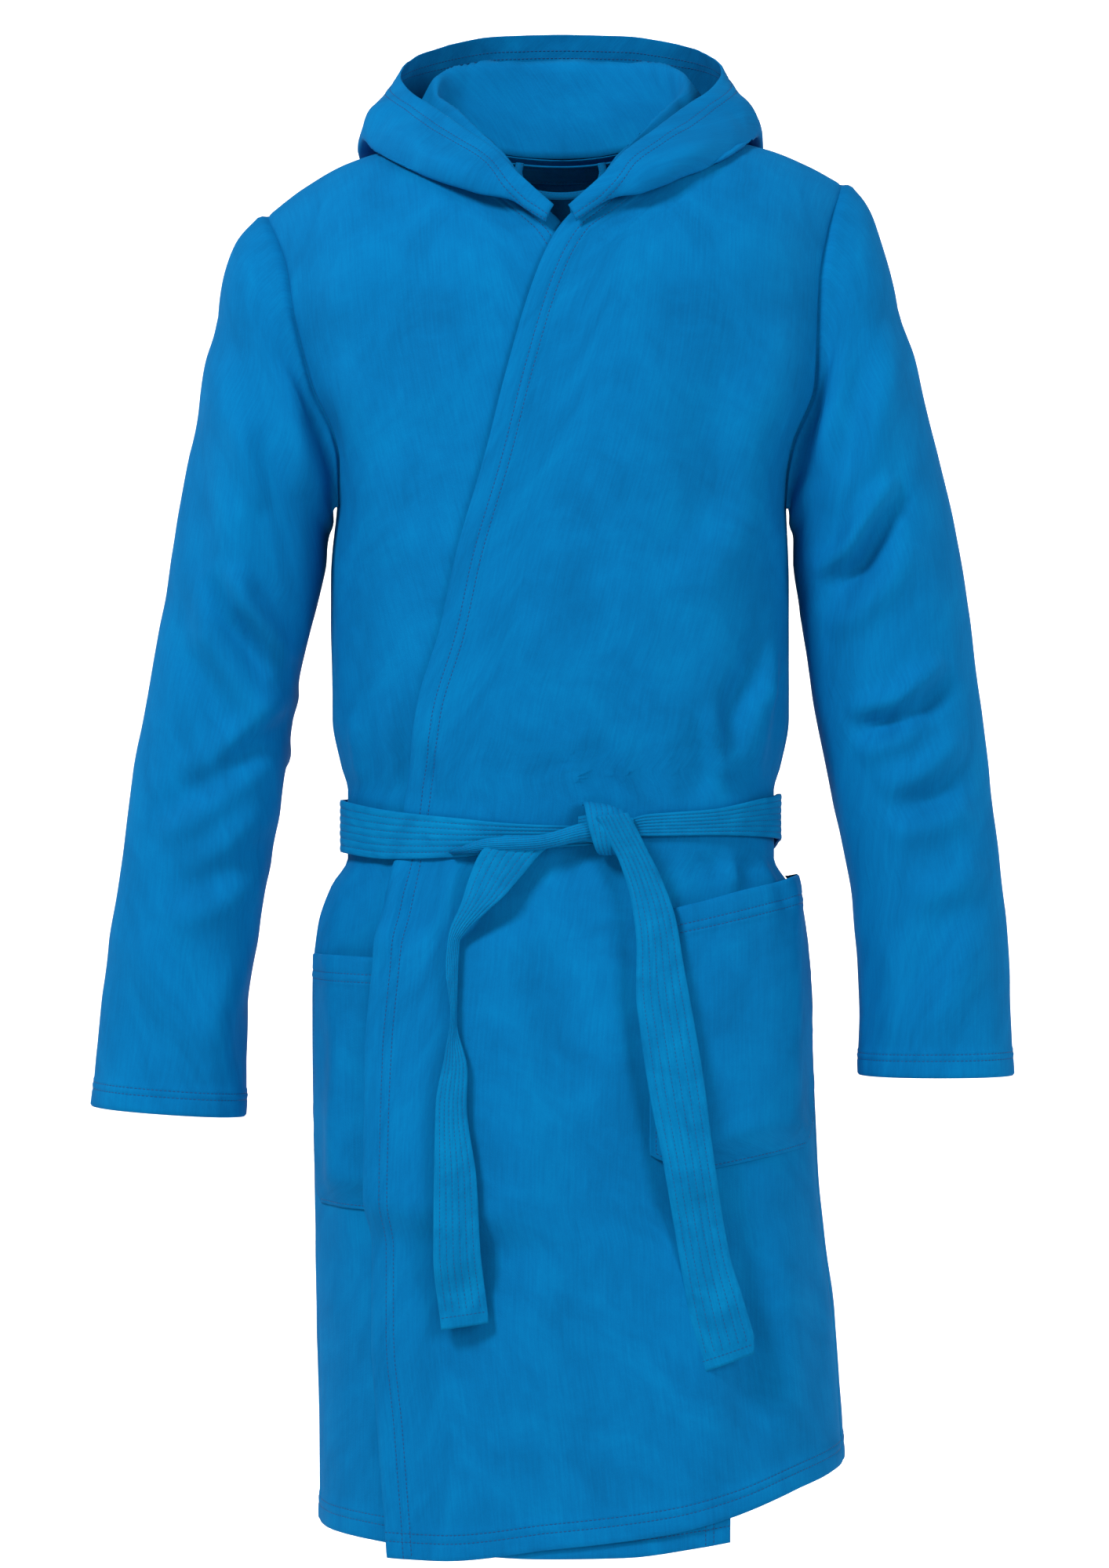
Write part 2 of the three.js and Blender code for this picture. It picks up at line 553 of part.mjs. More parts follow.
for (const side of [1, -1]) {
  const name = side > 0 ? "left" : "right";
  const ring = armholeRing(side);
  const n = ring.length;
  // Share of the way round for each point, so the section follows the armhole's spacing.
  const lengths = ring.map((r, i) => r.p.distanceTo(ring[(i + 1) % n].p));
  const total = lengths.reduce((a, b) => a + b, 0);
  const shares = [];
  let sum = 0;
  for (let i = 0; i < n; i++) {
    shares.push(lerp(sum / total, i / n, 0.35));
    sum += lengths[i];
  }
  const plane = capPlane.clone();
  plane.x *= side;
  plane.normalize();
  const pivot = vec(side * pivotX, 0, -pivotDrop);
  const first = sleeveRing(side, SLEEVES[side].sections[0], shares);
  for (const r of first) {
    const shift = capReach - r.p.clone().sub(pivot).dot(plane);
    r.p.addScaledVector(plane, shift);
    r.inner.addScaledVector(plane, capReach - r.inner.clone().sub(pivot).dot(plane));
  }
  const lead = vec(side * 0.9, 0, -0.3);
  const outer = [];
  const inner = [];
  const steps = 4;
  for (let k = 0; k <= steps; k++) {
    const t = k / steps;
    const bezier = (a, d) => {
      const reach = a.distanceTo(d) / 3;
      const b = a.clone().addScaledVector(lead, reach);
      const c = d.clone().addScaledVector(plane, -reach);
      const u = 1 - t;
      return vec(0, 0, 0)
        .addScaledVector(a, u * u * u)
        .addScaledVector(b, 3 * u * u * t)
        .addScaledVector(c, 3 * u * t * t)
        .addScaledVector(d, t * t * t);
    };
    outer.push(ring.map((r, i) => bezier(r.p, first[i].p)));
    inner.push(ring.map((r, i) => bezier(r.inner, first[i].inner)));
  }
  piece("sleeve_cap_" + name, shell(outer, inner, true), cloth);

  // The sleeve proper turns about the shoulder point.
  const arm = new THREE.Group();
  root.add(arm);
  const tubeOuter = [first.map((r) => r.p.clone().addScaledVector(plane, jointGap))];
  const tubeInner = [first.map((r) => r.inner.clone().addScaledVector(plane, jointGap))];
  const sections = SLEEVES[side].sections;
  const parts = [];
  for (let k = 0; k < sections.length - 1; k++) {
    for (const t of [0.5, 1]) parts.push(sections[k].map((v, m) => lerp(v, sections[k + 1][m], t)));
  }
  const last = parts.length - 1;
  parts.forEach((section, k) => {
    const r = sleeveRing(side, section, shares);
    if (k === 0) r.forEach((q, i) => {
      q.p.lerp(tubeOuter[0][i], 0.25);
      q.inner.lerp(tubeInner[0][i], 0.25);
    });
    tubeOuter.push(r.map((q) => q.p));
    tubeInner.push(r.map((q) => q.inner));
    if (k === last) {
      // The cuff hem takes the last stretch of the sleeve.
      const from = tubeOuter.length - 2;
      const span = tubeOuter[from][0].distanceTo(tubeOuter[from + 1][0]);
      const cut = (grid, share) => grid[from].map((p, i) => p.clone().lerp(grid[from + 1][i], share));
      const hemStart = 1 - hemBand / span;
      const hemOut = [cut(tubeOuter, hemStart + seamGap / span), tubeOuter[from + 1]];
      const hemIn = [cut(tubeInner, hemStart + seamGap / span), tubeInner[from + 1]];
      const endOut = cut(tubeOuter, hemStart);
      const endIn = cut(tubeInner, hemStart);
      tubeOuter[from + 1] = endOut;
      tubeInner[from + 1] = endIn;
      piece("cuff_hem_" + name, shell(hemOut, hemIn, true), clothDark, arm);
    }
  });
  piece("sleeve_" + name, shell(tubeOuter, tubeInner, true), cloth, arm);
}

// ---------------------------------------------------------------- pockets

for (const side of [1, -1]) {
  const p = POCKETS[side];
  const name = side > 0 ? "left" : "right";
  const cols = 12;
  const rows = 10;
  const outer = [];
  const inner = [];
  for (let i = 0; i <= rows; i++) {
    const v = i / rows;
    const rowOut = [];
    const rowIn = [];
    for (let j = 0; j <= cols; j++) {
      let across = j / cols;
      const tall = v * (p.mouth - p.bottom);
      // Bottom corners are cut off at an angle.
      const cutOff = Math.max(0, p.corner - (p.mouth - p.bottom - tall)) / (p.outer - p.inner);
      across = lerp(cutOff, 1 - cutOff, across);
      const middle = (p.mouth + p.bottom) / 2;
      const turned = lerp(angleAt(side * p.inner, middle), angleAt(side * p.outer, middle), across);
      const x = skin(turned, middle).x;
      const share = (side * x - p.inner) / (p.outer - p.inner);
      const z = lerp(p.mouth + p.mouthRise * share, p.bottom + p.bottomRise * share, v);
      const angle = angleAt(x, z);
      const n = skinNormal(angle, z);
      const carrier = side > 0 ? coverOffset(x, z) + clothThickness : 0;
      const offset = carrier + pocketRoom(side, x, z);
      const q = skin(angle, z);
      rowOut.push(q.clone().addScaledVector(n, offset + clothThickness));
      rowIn.push(q.clone().addScaledVector(n, offset));
    }
    outer.push(rowOut);
    inner.push(rowIn);
  }
  piece("pocket_" + name, shell(outer, inner), cloth);
}

// ---------------------------------------------------------------- belt

const beltHold = layerGap + clothThickness + beltGap;

/** Belt point round the waist; 0 middle front, +-PI middle back. */
function beltPoint(angle, z, offset) {
  const front = smooth(-0.1, 0.25, Math.cos(angle));
  const n = skinNormal(angle, z);
  n.z = 0;
  n.normalize();
  return skin(angle, -waistDrop).setZ(z).addScaledVector(n, lerp(beltGap, beltHold, front) + offset);
}

{
  const clear = knotSize.x / 2 + seamGap;
  const startX = knotX + clear;
  const endX = knotX - clear;
  const from = angleAt(startX, -waistDrop);
  const to = 2 * Math.PI + angleAt(endX, -waistDrop);
  const steps = 44;
  const outer = [];
  const inner = [];
  for (const z of [-waistDrop + beltWidth / 2, -waistDrop - beltWidth / 2]) {
    const rowOut = [];
    const rowIn = [];
    for (let j = 0; j <= steps; j++) {
      let angle = lerp(from, to, j / steps);
      if (angle > Math.PI) angle -= 2 * Math.PI;
      rowIn.push(beltPoint(angle, z, 0));
      rowOut.push(beltPoint(angle, z, beltThickness));
    }
    outer.push(rowOut);
    inner.push(rowIn);
  }
  piece("belt_wrap", shell(outer, inner), beltCloth);
}

const knotY = beltPoint(angleAt(knotX, -waistDrop), -waistDrop, 0).y;
{
  // The knot: a rounded block, drawn in at its middle where the tail wraps it.
  const shape = new THREE.Shape();
  const hx = knotSize.x / 2;
  const hz = knotSize.z / 2;
  shape.moveTo(-hx * 0.8, -hz * 0.7);
  shape.quadraticCurveTo(0, -hz, hx * 0.8, -hz * 0.8);
  shape.quadraticCurveTo(hx, 0, hx * 0.7, hz * 0.8);
  shape.quadraticCurveTo(0, hz * 0.9, -hx * 0.8, hz * 0.7);
  shape.quadraticCurveTo(-hx, 0, -hx * 0.8, -hz * 0.7);
  const bevel = 5;
  const knot = new THREE.ExtrudeGeometry(shape, {
    depth: knotSize.y - 2 * bevel,
    bevelThickness: bevel,
    bevelSize: bevel,
    bevelOffset: -bevel,
    bevelSegments: 2,
    curveSegments: 5,
  });
  knot.rotateX(Math.PI / 2);
  knot.center();
  const size = knot.boundingBox.getSize(vec(0, 0, 0));
  knot.scale(knotSize.x / size.x, knotSize.y / size.y, knotSize.z / size.z);
  const mesh = piece("belt_knot", knot, beltCloth);
  mesh.position.set(knotX, knotY - knotSize.y / 2, -waistDrop);
}

/** Most forward y of all layers at a place, the over front and pockets included. */
function frontmost(x, z) {
  const angle = angleAt(x, z);
  const n = skinNormal(angle, z);
  let offset = x > edgeX(1, z) - 6 ? coverOffset(x, z) + clothThickness : 0;
  if (insidePocket(1, x, z, 6) > -6) offset += pocketRoom(1, x, z) + clothThickness + 0.8;
  return skin(angle, z).addScaledVector(n, offset).y;
}

/** Ribbon hanging down the front: rows of [x, drop below the belt, width, thickness, lean in degrees]. */
function tail(table, name) {
  const group = new THREE.Group();
  root.add(group);
  const outer = [];
  const inner = [];
  const rows = [];
  for (let i = 0; i < table.length - 1; i++) for (const t of [0, 0.5]) rows.push(table[i].map((v, m) => lerp(v, table[i + 1][m], t)));
  rows.push(table[table.length - 1]);
  const hang = rows.map(([x, drop, width, thick, lean]) => {
    const z = -waistDrop - drop;
    const a = THREE.MathUtils.degToRad(lean);
    let y = Infinity;
    for (let k = -4; k <= 4; k++) for (const dz of [-30, -15, 0, 15, 30]) {
      const px = x + (width / 2 + 2) * (k / 4) * Math.cos(a);
      const pz = z + (width / 2 + 2) * (k / 4) * Math.sin(a) + dz;
      y = Math.min(y, frontmost(px, pz));
      if (pz > -waistDrop - beltWidth / 2 - 4) y = Math.min(y, beltPoint(angleAt(px, -waistDrop), -waistDrop, beltThickness).y);
    }
    return { x, z, width, thick, a, y: y - tailGap };
  });
  for (const h of hang) {
    const across = vec(Math.cos(h.a), 0, Math.sin(h.a)).multiplyScalar(h.width / 2);
    const back = vec(h.x, h.y, h.z);
    const front = vec(h.x, h.y - h.thick, h.z);
    inner.push([back.clone().sub(across), back.clone(), back.clone().add(across)]);
    outer.push([front.clone().sub(across), front.clone(), front.clone().add(across)]);
  }
  piece(name, shell(outer, inner), beltCloth, group);
}

const knotLeft = knotX - knotSize.x / 2 - seamGap;
const knotFoot = knotSize.z / 2 + seamGap; // below the belt's middle
tail([
  [knotLeft, 2, 24, 4, -90],
  [knotLeft - 30, 12, 28, 4, -74],
  [-44, 28, 32, 4, -48],
  [-60, 46, 27, 5, -28],
  [-73, 72, 16, 6, -8],
  [-73, 125, 12, 6, 0],
  [-74, 187, 26, 4, -2],
  [-70, 287, 34, 4, -4],
  [-65, 344, 36, 4, -5],
], "belt_tail_right");
tail([
  [knotX + 6, knotFoot + 0.4, 22, 6, 6],
  [58, 57, 27, 5, 10],
  [65, 96, 34, 4, 10],
  [71, 137, beltWidth, 4, 9],
  [85, 223, beltWidth, 4, 10],
  [97, 299, beltWidth, 4, 11],
  [110, 356, beltWidth, 4, 12],
], "belt_tail_left");

// Belt loops, one behind each side seam.
for (const side of [1, -1]) {
  const name = side > 0 ? "left" : "right";
  const z = -waistDrop;
  const angle = side * 1.98;
  const half = loopHeight / 2;
  const stand = beltGap + beltThickness + loopGap;
  const profile = [
    [half, loopSeat], [half - 6, loopSeat], [beltWidth / 2 + 3, stand * 0.6], [beltWidth / 2 - 2, stand], [0, stand + 0.3],
    [-beltWidth / 2 + 2, stand], [-beltWidth / 2 - 3, stand * 0.6], [-half + 6, loopSeat], [-half, loopSeat],
  ];
  const outer = [];
  const inner = [];
  for (const [dz, off] of profile) {
    const rowOut = [];
    const rowIn = [];
    for (const s of [-1, 1]) {
      const here = angle + (s * side * loopWidth) / 2 / 120;
      const n = skinNormal(here, z);
      n.z = 0;
      n.normalize();
      const base = skin(here, Math.abs(dz) > beltWidth / 2 ? z + dz : z).setZ(z + dz);
      rowIn.push(base.clone().addScaledVector(n, off));
      rowOut.push(base.clone().addScaledVector(n, off + 1.5));
    }
    outer.push(rowOut);
    inner.push(rowIn);
  }
  piece("belt_loop_" + name, shell(outer, inner), clothDark);
}

// ---------------------------------------------------------------- hood

/** Seam point of the hood on the neckline. */
function necklinePoint(side, spot) {
  if (spot.reach !== undefined) {
    const x = side * lerp(SIDES[side].notchReach + 1, neckHalf - 1, spot.reach);
    const z = frontTop(x);
    return skin(angleAt(x, z), z).add(vec(0, 0, hoodSeam));
  }
  const x = side * spot.x;
  const z = backTop(x);
  return skin(backAngleAt(x || 1e-6, z), z).add(vec(0, 0, hoodSeam));
}

/** Moves a point of the hood off the shoulders and the back, to a set clearance. */
function liftOff(p, clearance) {
  const side = p.x < 0 ? -1 : 1;
  const roof = sideTables[side].shoulder(Math.abs(p.x));
  for (let k = 0; k < 3; k++) {
    const z = Math.min(p.z, roof - 0.5);
    const angle = p.y < centreY ? angleAt(p.x, z) : backAngleAt(p.x, z);
    const n = skinNormal(angle, z);
    const cover = p.y < centreY && p.x > edgeX(1, z) - 6 ? coverOffset(p.x, z) + clothThickness : 0;
    const depth = p.clone().sub(skin(angle, z)).dot(n) - cover;
    if (depth < clearance && p.z < roof + clearance) p.addScaledVector(n, clearance - depth);
  }
  return p;
}

/** Profile of the hood at one station, from the neckline seam to the rim, and where its rim band starts. */
function hoodProfile(side, spot) {
  const seam = necklinePoint(side, spot);
  const lift = (SIDES[side].neckHeight - 16) * 0.6;
  const at = (q) => vec(side * q[0], q[1], q[2] + lift * smooth(40, 110, q[0]));
  const controls = [seam, seam.clone().lerp(at(spot.top), 0.55), at(spot.top)];
  controls.push(at(spot.cavity), at(spot.bottom), at(spot.bulge), at(spot.rim));
  const path = new THREE.CatmullRomCurve3(controls, false, "centripetal");
  const length = path.getLength();
  const cut = 1 - hoodBand / length;
  return { path, length, cut };
}

/** Shell of part of the hood: stations of one side, between two shares of each profile. */
function hoodShell(side, stations, isBand, shiftX) {
  const outer = [];
  const inner = [];
  const rows = isBand ? 2 : 17;
  const grid = stations.map((spot) => {
    const { path, length, cut } = hoodProfile(side, spot);
    const points = [];
    for (let i = 0; i <= rows; i++) {
      const u = isBand ? lerp(cut + seamGap / length, 1, i / rows) : lerp(0, cut, i / rows);
      const p = path.getPointAt(u);
      if (!isBand && i > 4) liftOff(p, hoodRest);
      const e = 0.004;
      const d = path.getPointAt(Math.min(1, u + e)).sub(path.getPointAt(Math.max(0, u - e))).normalize();
      points.push({ p, d });
    }
    return points;
  });
  for (let i = 0; i <= rows; i++) {
    const rowOut = [];
    const rowIn = [];
    for (let k = 0; k < stations.length; k++) {
      const { p, d } = grid[k][i];
      const before = grid[Math.max(0, k - 1)][i].p;
      const after = grid[Math.min(stations.length - 1, k + 1)][i].p;
      const along = after.clone().sub(before);
      if (k === stations.length - 1 && stations[k].x !== undefined) along.set(-side, 0, 0);
      if (k === 0 && stations[k].x === crownHalf) along.set(-side, 0, 0);
      const n = along.cross(d).multiplyScalar(-side).normalize();
      const q = p.clone();
      if (shiftX) q.x += side * shiftX(k);
      rowOut.push(q.clone());
      rowIn.push(q.clone().addScaledVector(n, clothThickness));
    }
    outer.push(rowOut);
    inner.push(rowIn);
  }
  return shell(outer, inner);
}

const crown = new THREE.Group();
root.add(crown);
for (const side of [1, -1]) {
  const name = side > 0 ? "left" : "right";
  const sideStations = [...HOOD, ...HOOD_BACK.slice(0, 3)];
  const backStations = HOOD_BACK.slice(2);
  const sideShift = (k) => (k === sideStations.length - 1 ? jointGap / 2 : 0);
  const backShift = (k) => (k === 0 ? -jointGap / 2 : k === backStations.length - 1 ? seamGap / 2 : 0);
  piece("hood_side_" + name, hoodShell(side, sideStations, false, sideShift), cloth);
  piece("hood_band_" + name, hoodShell(side, sideStations, true, sideShift), clothDark);
  piece("hood_crown_" + name, hoodShell(side, backStations, false, backShift), cloth, crown);
  piece("hood_crown_band_" + name, hoodShell(side, backStations, true, backShift), clothDark, crown);
}

// ---------------------------------------------------------------- neck tape and hanger loop

const tapeHalf = 56;
const tapeHeight = 12;
const tapeThickness = 1.2;
const tapeSeat = 0.8; // clearance between the tape and the back
{
  const outer = [];
  const inner = [];
  for (const down of [2, 2 + tapeHeight / 2, 2 + tapeHeight]) {
    const rowOut = [];
    const rowIn = [];
    for (let j = 0; j <= 16; j++) {
      const x = lerp(-tapeHalf, tapeHalf, j / 16) || 1e-6;
      const z = backTop(x) - down;
      const angle = backAngleAt(x, z);
      const n = skinNormal(angle, z);
      const p = skin(angle, z);
      rowOut.push(p.clone().addScaledVector(n, -clothThickness - tapeSeat));
      rowIn.push(p.clone().addScaledVector(n, -clothThickness - tapeSeat - tapeThickness));
    }
    outer.push(rowOut);
    inner.push(rowIn);
  }
  piece("neck_tape", shell(outer, inner), clothDark);
}

const hangerHalf = 30; // half the distance between the hanger loop's ends
const hangerDrop = 26;
const hangerWidth = 6;
{
  const group = new THREE.Group();
  root.add(group);
  const outer = [];
  const inner = [];
  const z0 = backTop(hangerHalf) - 4;
  const inside = -clothThickness - tapeSeat - tapeThickness;
  let y0 = Infinity;
  for (let x = 0; x <= hangerHalf + 5; x += 5) {
    for (const z of [backTop(x) - 2, z0 - 4]) {
      const angle = backAngleAt(x || 1e-6, z);
      y0 = Math.min(y0, skin(angle, z).addScaledVector(skinNormal(angle, z), inside).y - seamGap - 1.1);
    }
  }
  const path = new THREE.CatmullRomCurve3([
    vec(-hangerHalf, y0, z0), vec(-hangerHalf - 1, y0 - 0.6, z0 - 9), vec(-hangerHalf + 6, y0 - 1.5, z0 - hangerDrop + 5),
    vec(0, y0 - 2, z0 - hangerDrop), vec(hangerHalf - 6, y0 - 1.5, z0 - hangerDrop + 5),
    vec(hangerHalf + 1, y0 - 0.6, z0 - 9), vec(hangerHalf, y0, z0),
  ]);
  for (const w of [-1, 1]) {
    const rowOut = [];
    const rowIn = [];
    for (let j = 0; j <= 20; j++) {
      const p = path.getPoint(j / 20);
      const t = path.getTangent(j / 20);
      const across = vec(-t.z, 0, t.x).normalize();
      const q = p.clone().addScaledVector(across, (w * hangerWidth) / 2);
      rowOut.push(q.clone());
      rowIn.push(q.clone().add(vec(0, -1.4, 0)));
    }
    outer.push(rowOut);
    inner.push(rowIn);
  }
  piece("hanger_loop", shell(outer, inner), clothDark, group);
}

export default root;
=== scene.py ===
"""Hooded wrap bathrobe of brushed microfibre, in the shape it has when worn and tied.

Lengths are in millimetres unless a name says otherwise, and meshes are made in metres.
+Z is up, the robe faces -Y and +X is the wearer's left.
"""
import logging
import math
from dataclasses import dataclass, field
from enum import Enum
from typing import Callable, Sequence

import bpy
import numpy as np
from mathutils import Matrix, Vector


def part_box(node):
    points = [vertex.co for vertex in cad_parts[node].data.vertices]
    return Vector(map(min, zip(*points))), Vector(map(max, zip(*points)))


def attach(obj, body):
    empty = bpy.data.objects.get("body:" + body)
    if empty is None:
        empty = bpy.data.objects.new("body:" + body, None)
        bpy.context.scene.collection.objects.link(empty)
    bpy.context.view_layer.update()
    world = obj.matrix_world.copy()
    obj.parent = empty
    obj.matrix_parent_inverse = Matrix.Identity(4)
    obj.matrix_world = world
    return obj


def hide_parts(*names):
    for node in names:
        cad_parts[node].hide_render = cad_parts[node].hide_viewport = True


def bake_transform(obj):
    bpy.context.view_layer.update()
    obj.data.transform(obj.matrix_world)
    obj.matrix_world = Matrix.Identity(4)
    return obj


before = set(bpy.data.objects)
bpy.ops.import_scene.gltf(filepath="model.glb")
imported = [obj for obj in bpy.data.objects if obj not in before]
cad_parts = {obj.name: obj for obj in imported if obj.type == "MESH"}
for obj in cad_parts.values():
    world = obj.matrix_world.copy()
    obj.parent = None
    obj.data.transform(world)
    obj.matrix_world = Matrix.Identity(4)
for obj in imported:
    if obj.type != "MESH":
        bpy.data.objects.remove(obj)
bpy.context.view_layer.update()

MM = 0.001
log = logging.getLogger("bathrobe")

Table = Sequence[Sequence[float]]
Curve = Callable[[np.ndarray], np.ndarray]


class Side(Enum):
    """The wearer's side of the robe; the value is the sign of X there."""

    LEFT = 1
    RIGHT = -1

    @property
    def label(self) -> str:
        """Name used in piece names."""
        return self.name.lower()


# ------------------------------------------------------------------ numbers


def lerp(a: np.ndarray | float, b: np.ndarray | float, t: np.ndarray | float) -> np.ndarray | float:
    """Value that lies a share t of the way from a to b."""
    return a + (b - a) * t


def smooth(a: float, b: float, x) -> np.ndarray:
    """Soft step from 0 at a to 1 at b."""
    t = np.clip((np.asarray(x, float) - a) / (b - a), 0, 1)
    return t * t * (3 - 2 * t)


def curve(table: Table) -> Curve:
    """Monotone curve through pairs of numbers, level past its ends.

    Args:
        table: (position, value) pairs in rising order of position.
    Returns:
        A function of an array of positions.
    """
    at, value = np.array(table, float).T
    step = np.diff(at)
    slope = np.diff(value) / step
    tangent = np.zeros(len(at))
    tangent[0], tangent[-1] = slope[0], slope[-1]
    for i in range(1, len(at) - 1):
        a, b = slope[i - 1], slope[i]
        tangent[i] = 0 if a * b <= 0 else 2 * a * b / (a + b)

    def read(x) -> np.ndarray:
        """Value of the curve at x."""
        x = np.clip(np.asarray(x, float), at[0], at[-1])
        i = np.clip(np.searchsorted(at, x) - 1, 0, len(step) - 1)
        t = (x - at[i]) / step[i]
        return (
            (2 * t**3 - 3 * t**2 + 1) * value[i]
            + (t**3 - 2 * t**2 + t) * step[i] * tangent[i]
            + (3 * t**2 - 2 * t**3) * value[i + 1]
            + (t**3 - t**2) * step[i] * tangent[i + 1]
        )

    return read


def unit(v: np.ndarray) -> np.ndarray:
    """Vectors of length one."""
    return v / np.maximum(np.linalg.norm(v, axis=-1, keepdims=True), 1e-9)


def spline(points: np.ndarray, share: np.ndarray) -> np.ndarray:
    """Centripetal curve through points along the first axis.

    Args:
        points: array of shape (n, ..., 3).
        share: places along the curve in index units, from 0 to n - 1.
    Returns:
        Array of shape (len(share), ..., 3).
    """
    points = np.asarray(points, float)
    n = len(points)
    gap = np.sqrt(np.maximum(np.linalg.norm(np.diff(points, axis=0), axis=-1, keepdims=True), 1e-6))
    chord = np.diff(points, axis=0) / gap
    tangent = np.empty_like(points)
    tangent[0], tangent[-1] = chord[0], chord[-1]
    if n > 2:
        a, b = gap[:-1], gap[1:]
        tangent[1:-1] = (chord[:-1] * b + chord[1:] * a) / (a + b)
    i = np.clip(np.floor(share).astype(int), 0, n - 2)
    t = (share - i).reshape((-1,) + (1,) * (points.ndim - 1))
    g = gap[i]
    return (
        (2 * t**3 - 3 * t**2 + 1) * points[i]
        + (t**3 - 2 * t**2 + t) * g * tangent[i]
        + (3 * t**2 - 2 * t**3) * points[i + 1]
        + (t**3 - t**2) * g * tangent[i + 1]
    )


def noise(p: np.ndarray, size: float, seed: int) -> np.ndarray:
    """Smooth seeded noise from -1 to 1.

    Args:
        p: points of shape (..., 3).
        size: distance between the noise's grid points.
        seed: which noise.
    Returns:
        One value for each point.
    """
    q = np.asarray(p, float) / size + seed * 7.31
    cell = np.floor(q).astype(np.int64)
    f = q - cell
    f = f * f * f * (f * (f * 6 - 15) + 10)
    total = np.zeros(q.shape[:-1])
    for corner in range(8):
        d = np.array([corner & 1, corner >> 1 & 1, corner >> 2 & 1])
        c = cell + d
        h = (c[..., 0] * 73856093 ^ c[..., 1] * 19349663 ^ c[...,
            2] * 83492791 ^ seed * 2654435) & 0xFFFFFFFF
        h = ((h ^ (h >> 13)) * 1274126177) & 0xFFFFFFFF
        h = (h ^ (h >> 16)) & 0xFFFFFF
        weight = np.prod(np.where(d == 1, f, 1 - f), axis=-1)
        total += weight * (h / 0x7FFFFF - 1)
    return total


# ------------------------------------------------------------------ folds


@dataclass(frozen=True)
class Fold:
    """A soft ridge or crease of the cloth, drawn as a path seen from the front or the back.

    Attributes:
        path: (x, z) points.
        width: half width of the ridge.
        height: how far it stands out, or in where it is below zero.
        partner: share of the height that the hollow beside it has; its sign picks the side.
    """

    path: Table
    width: float
    height: float
    partner: float = 0.5


FOLD_DEPTH = 2.1  # all folds together


def folds_height(x: np.ndarray, z: np.ndarray, folds: Sequence[Fold]) -> np.ndarray:
    """Height of all folds at places seen from the front.

    Args:
        x: places across.
        z: heights.
        folds: the folds to add up.
    Returns:
        Height above the smooth surface.
    """
    total = np.zeros(np.shape(x))
    for fold in folds:
        path = np.array(fold.path, float)
        lengths = np.linalg.norm(np.diff(path, axis=0), axis=1)
        start = np.concatenate([[0], np.cumsum(lengths)])
        nearest = np.full(np.shape(x), 1e9)
        signed = np.zeros(np.shape(x))
        along = np.zeros(np.shape(x))
        for i, length in enumerate(lengths):
            d = (path[i + 1] - path[i]) / length
            rx, rz = x - path[i][0], z - path[i][1]
            t = np.clip(rx * d[0] + rz * d[1], 0, length)
            distance = np.hypot(rx - t * d[0], rz - t * d[1])
            closer = distance < nearest
            nearest = np.where(closer, distance, nearest)
            signed = np.where(closer, np.sign(rx * d[1] - rz * d[0]) * distance, signed)
            along = np.where(closer, (start[i] + t) / start[-1], along)
        taper = np.clip(1 - np.abs(2 * along - 1) ** 2.5, 0, 1)
        ridge = np.exp(-((nearest / fold.width) ** 2))
        beside = np.exp(-(((signed - math.copysign(1.7, fold.partner) * fold.width) / fold.width) ** 2))
        total += fold.height * taper * (ridge - abs(fold.partner) * beside)
    return total * FOLD_DEPTH


# ------------------------------------------------------------------ body form


@dataclass(frozen=True)
class SideForm:
    """Sizes that differ between the two sides of the body."""

    shoulder_tip: float
    tip_drop: float
    neck_height: float
    underarm: float
    hem_half: float
    hem_rise: float
    notch_reach: float
    armhole_ease: Table


SIDE_FORMS = {
    Side.LEFT: SideForm(205, 19, 18, 162, 208, 58, 29, (
        (0, 1), (0.16, 0.72), (0.32, 0.56), (0.64, 0.48), (0.82, 0.11), (0.92, 0.02), (1, 0))),
    Side.RIGHT: SideForm(214, 42, 14, 160, 175, 14, 24, (
        (0, 1), (0.2, 0.7), (0.34, 0.61), (0.48, 0.48), (0.62, 0.32), (0.76, 0.07), (0.85, 0), (1, 0))),
}


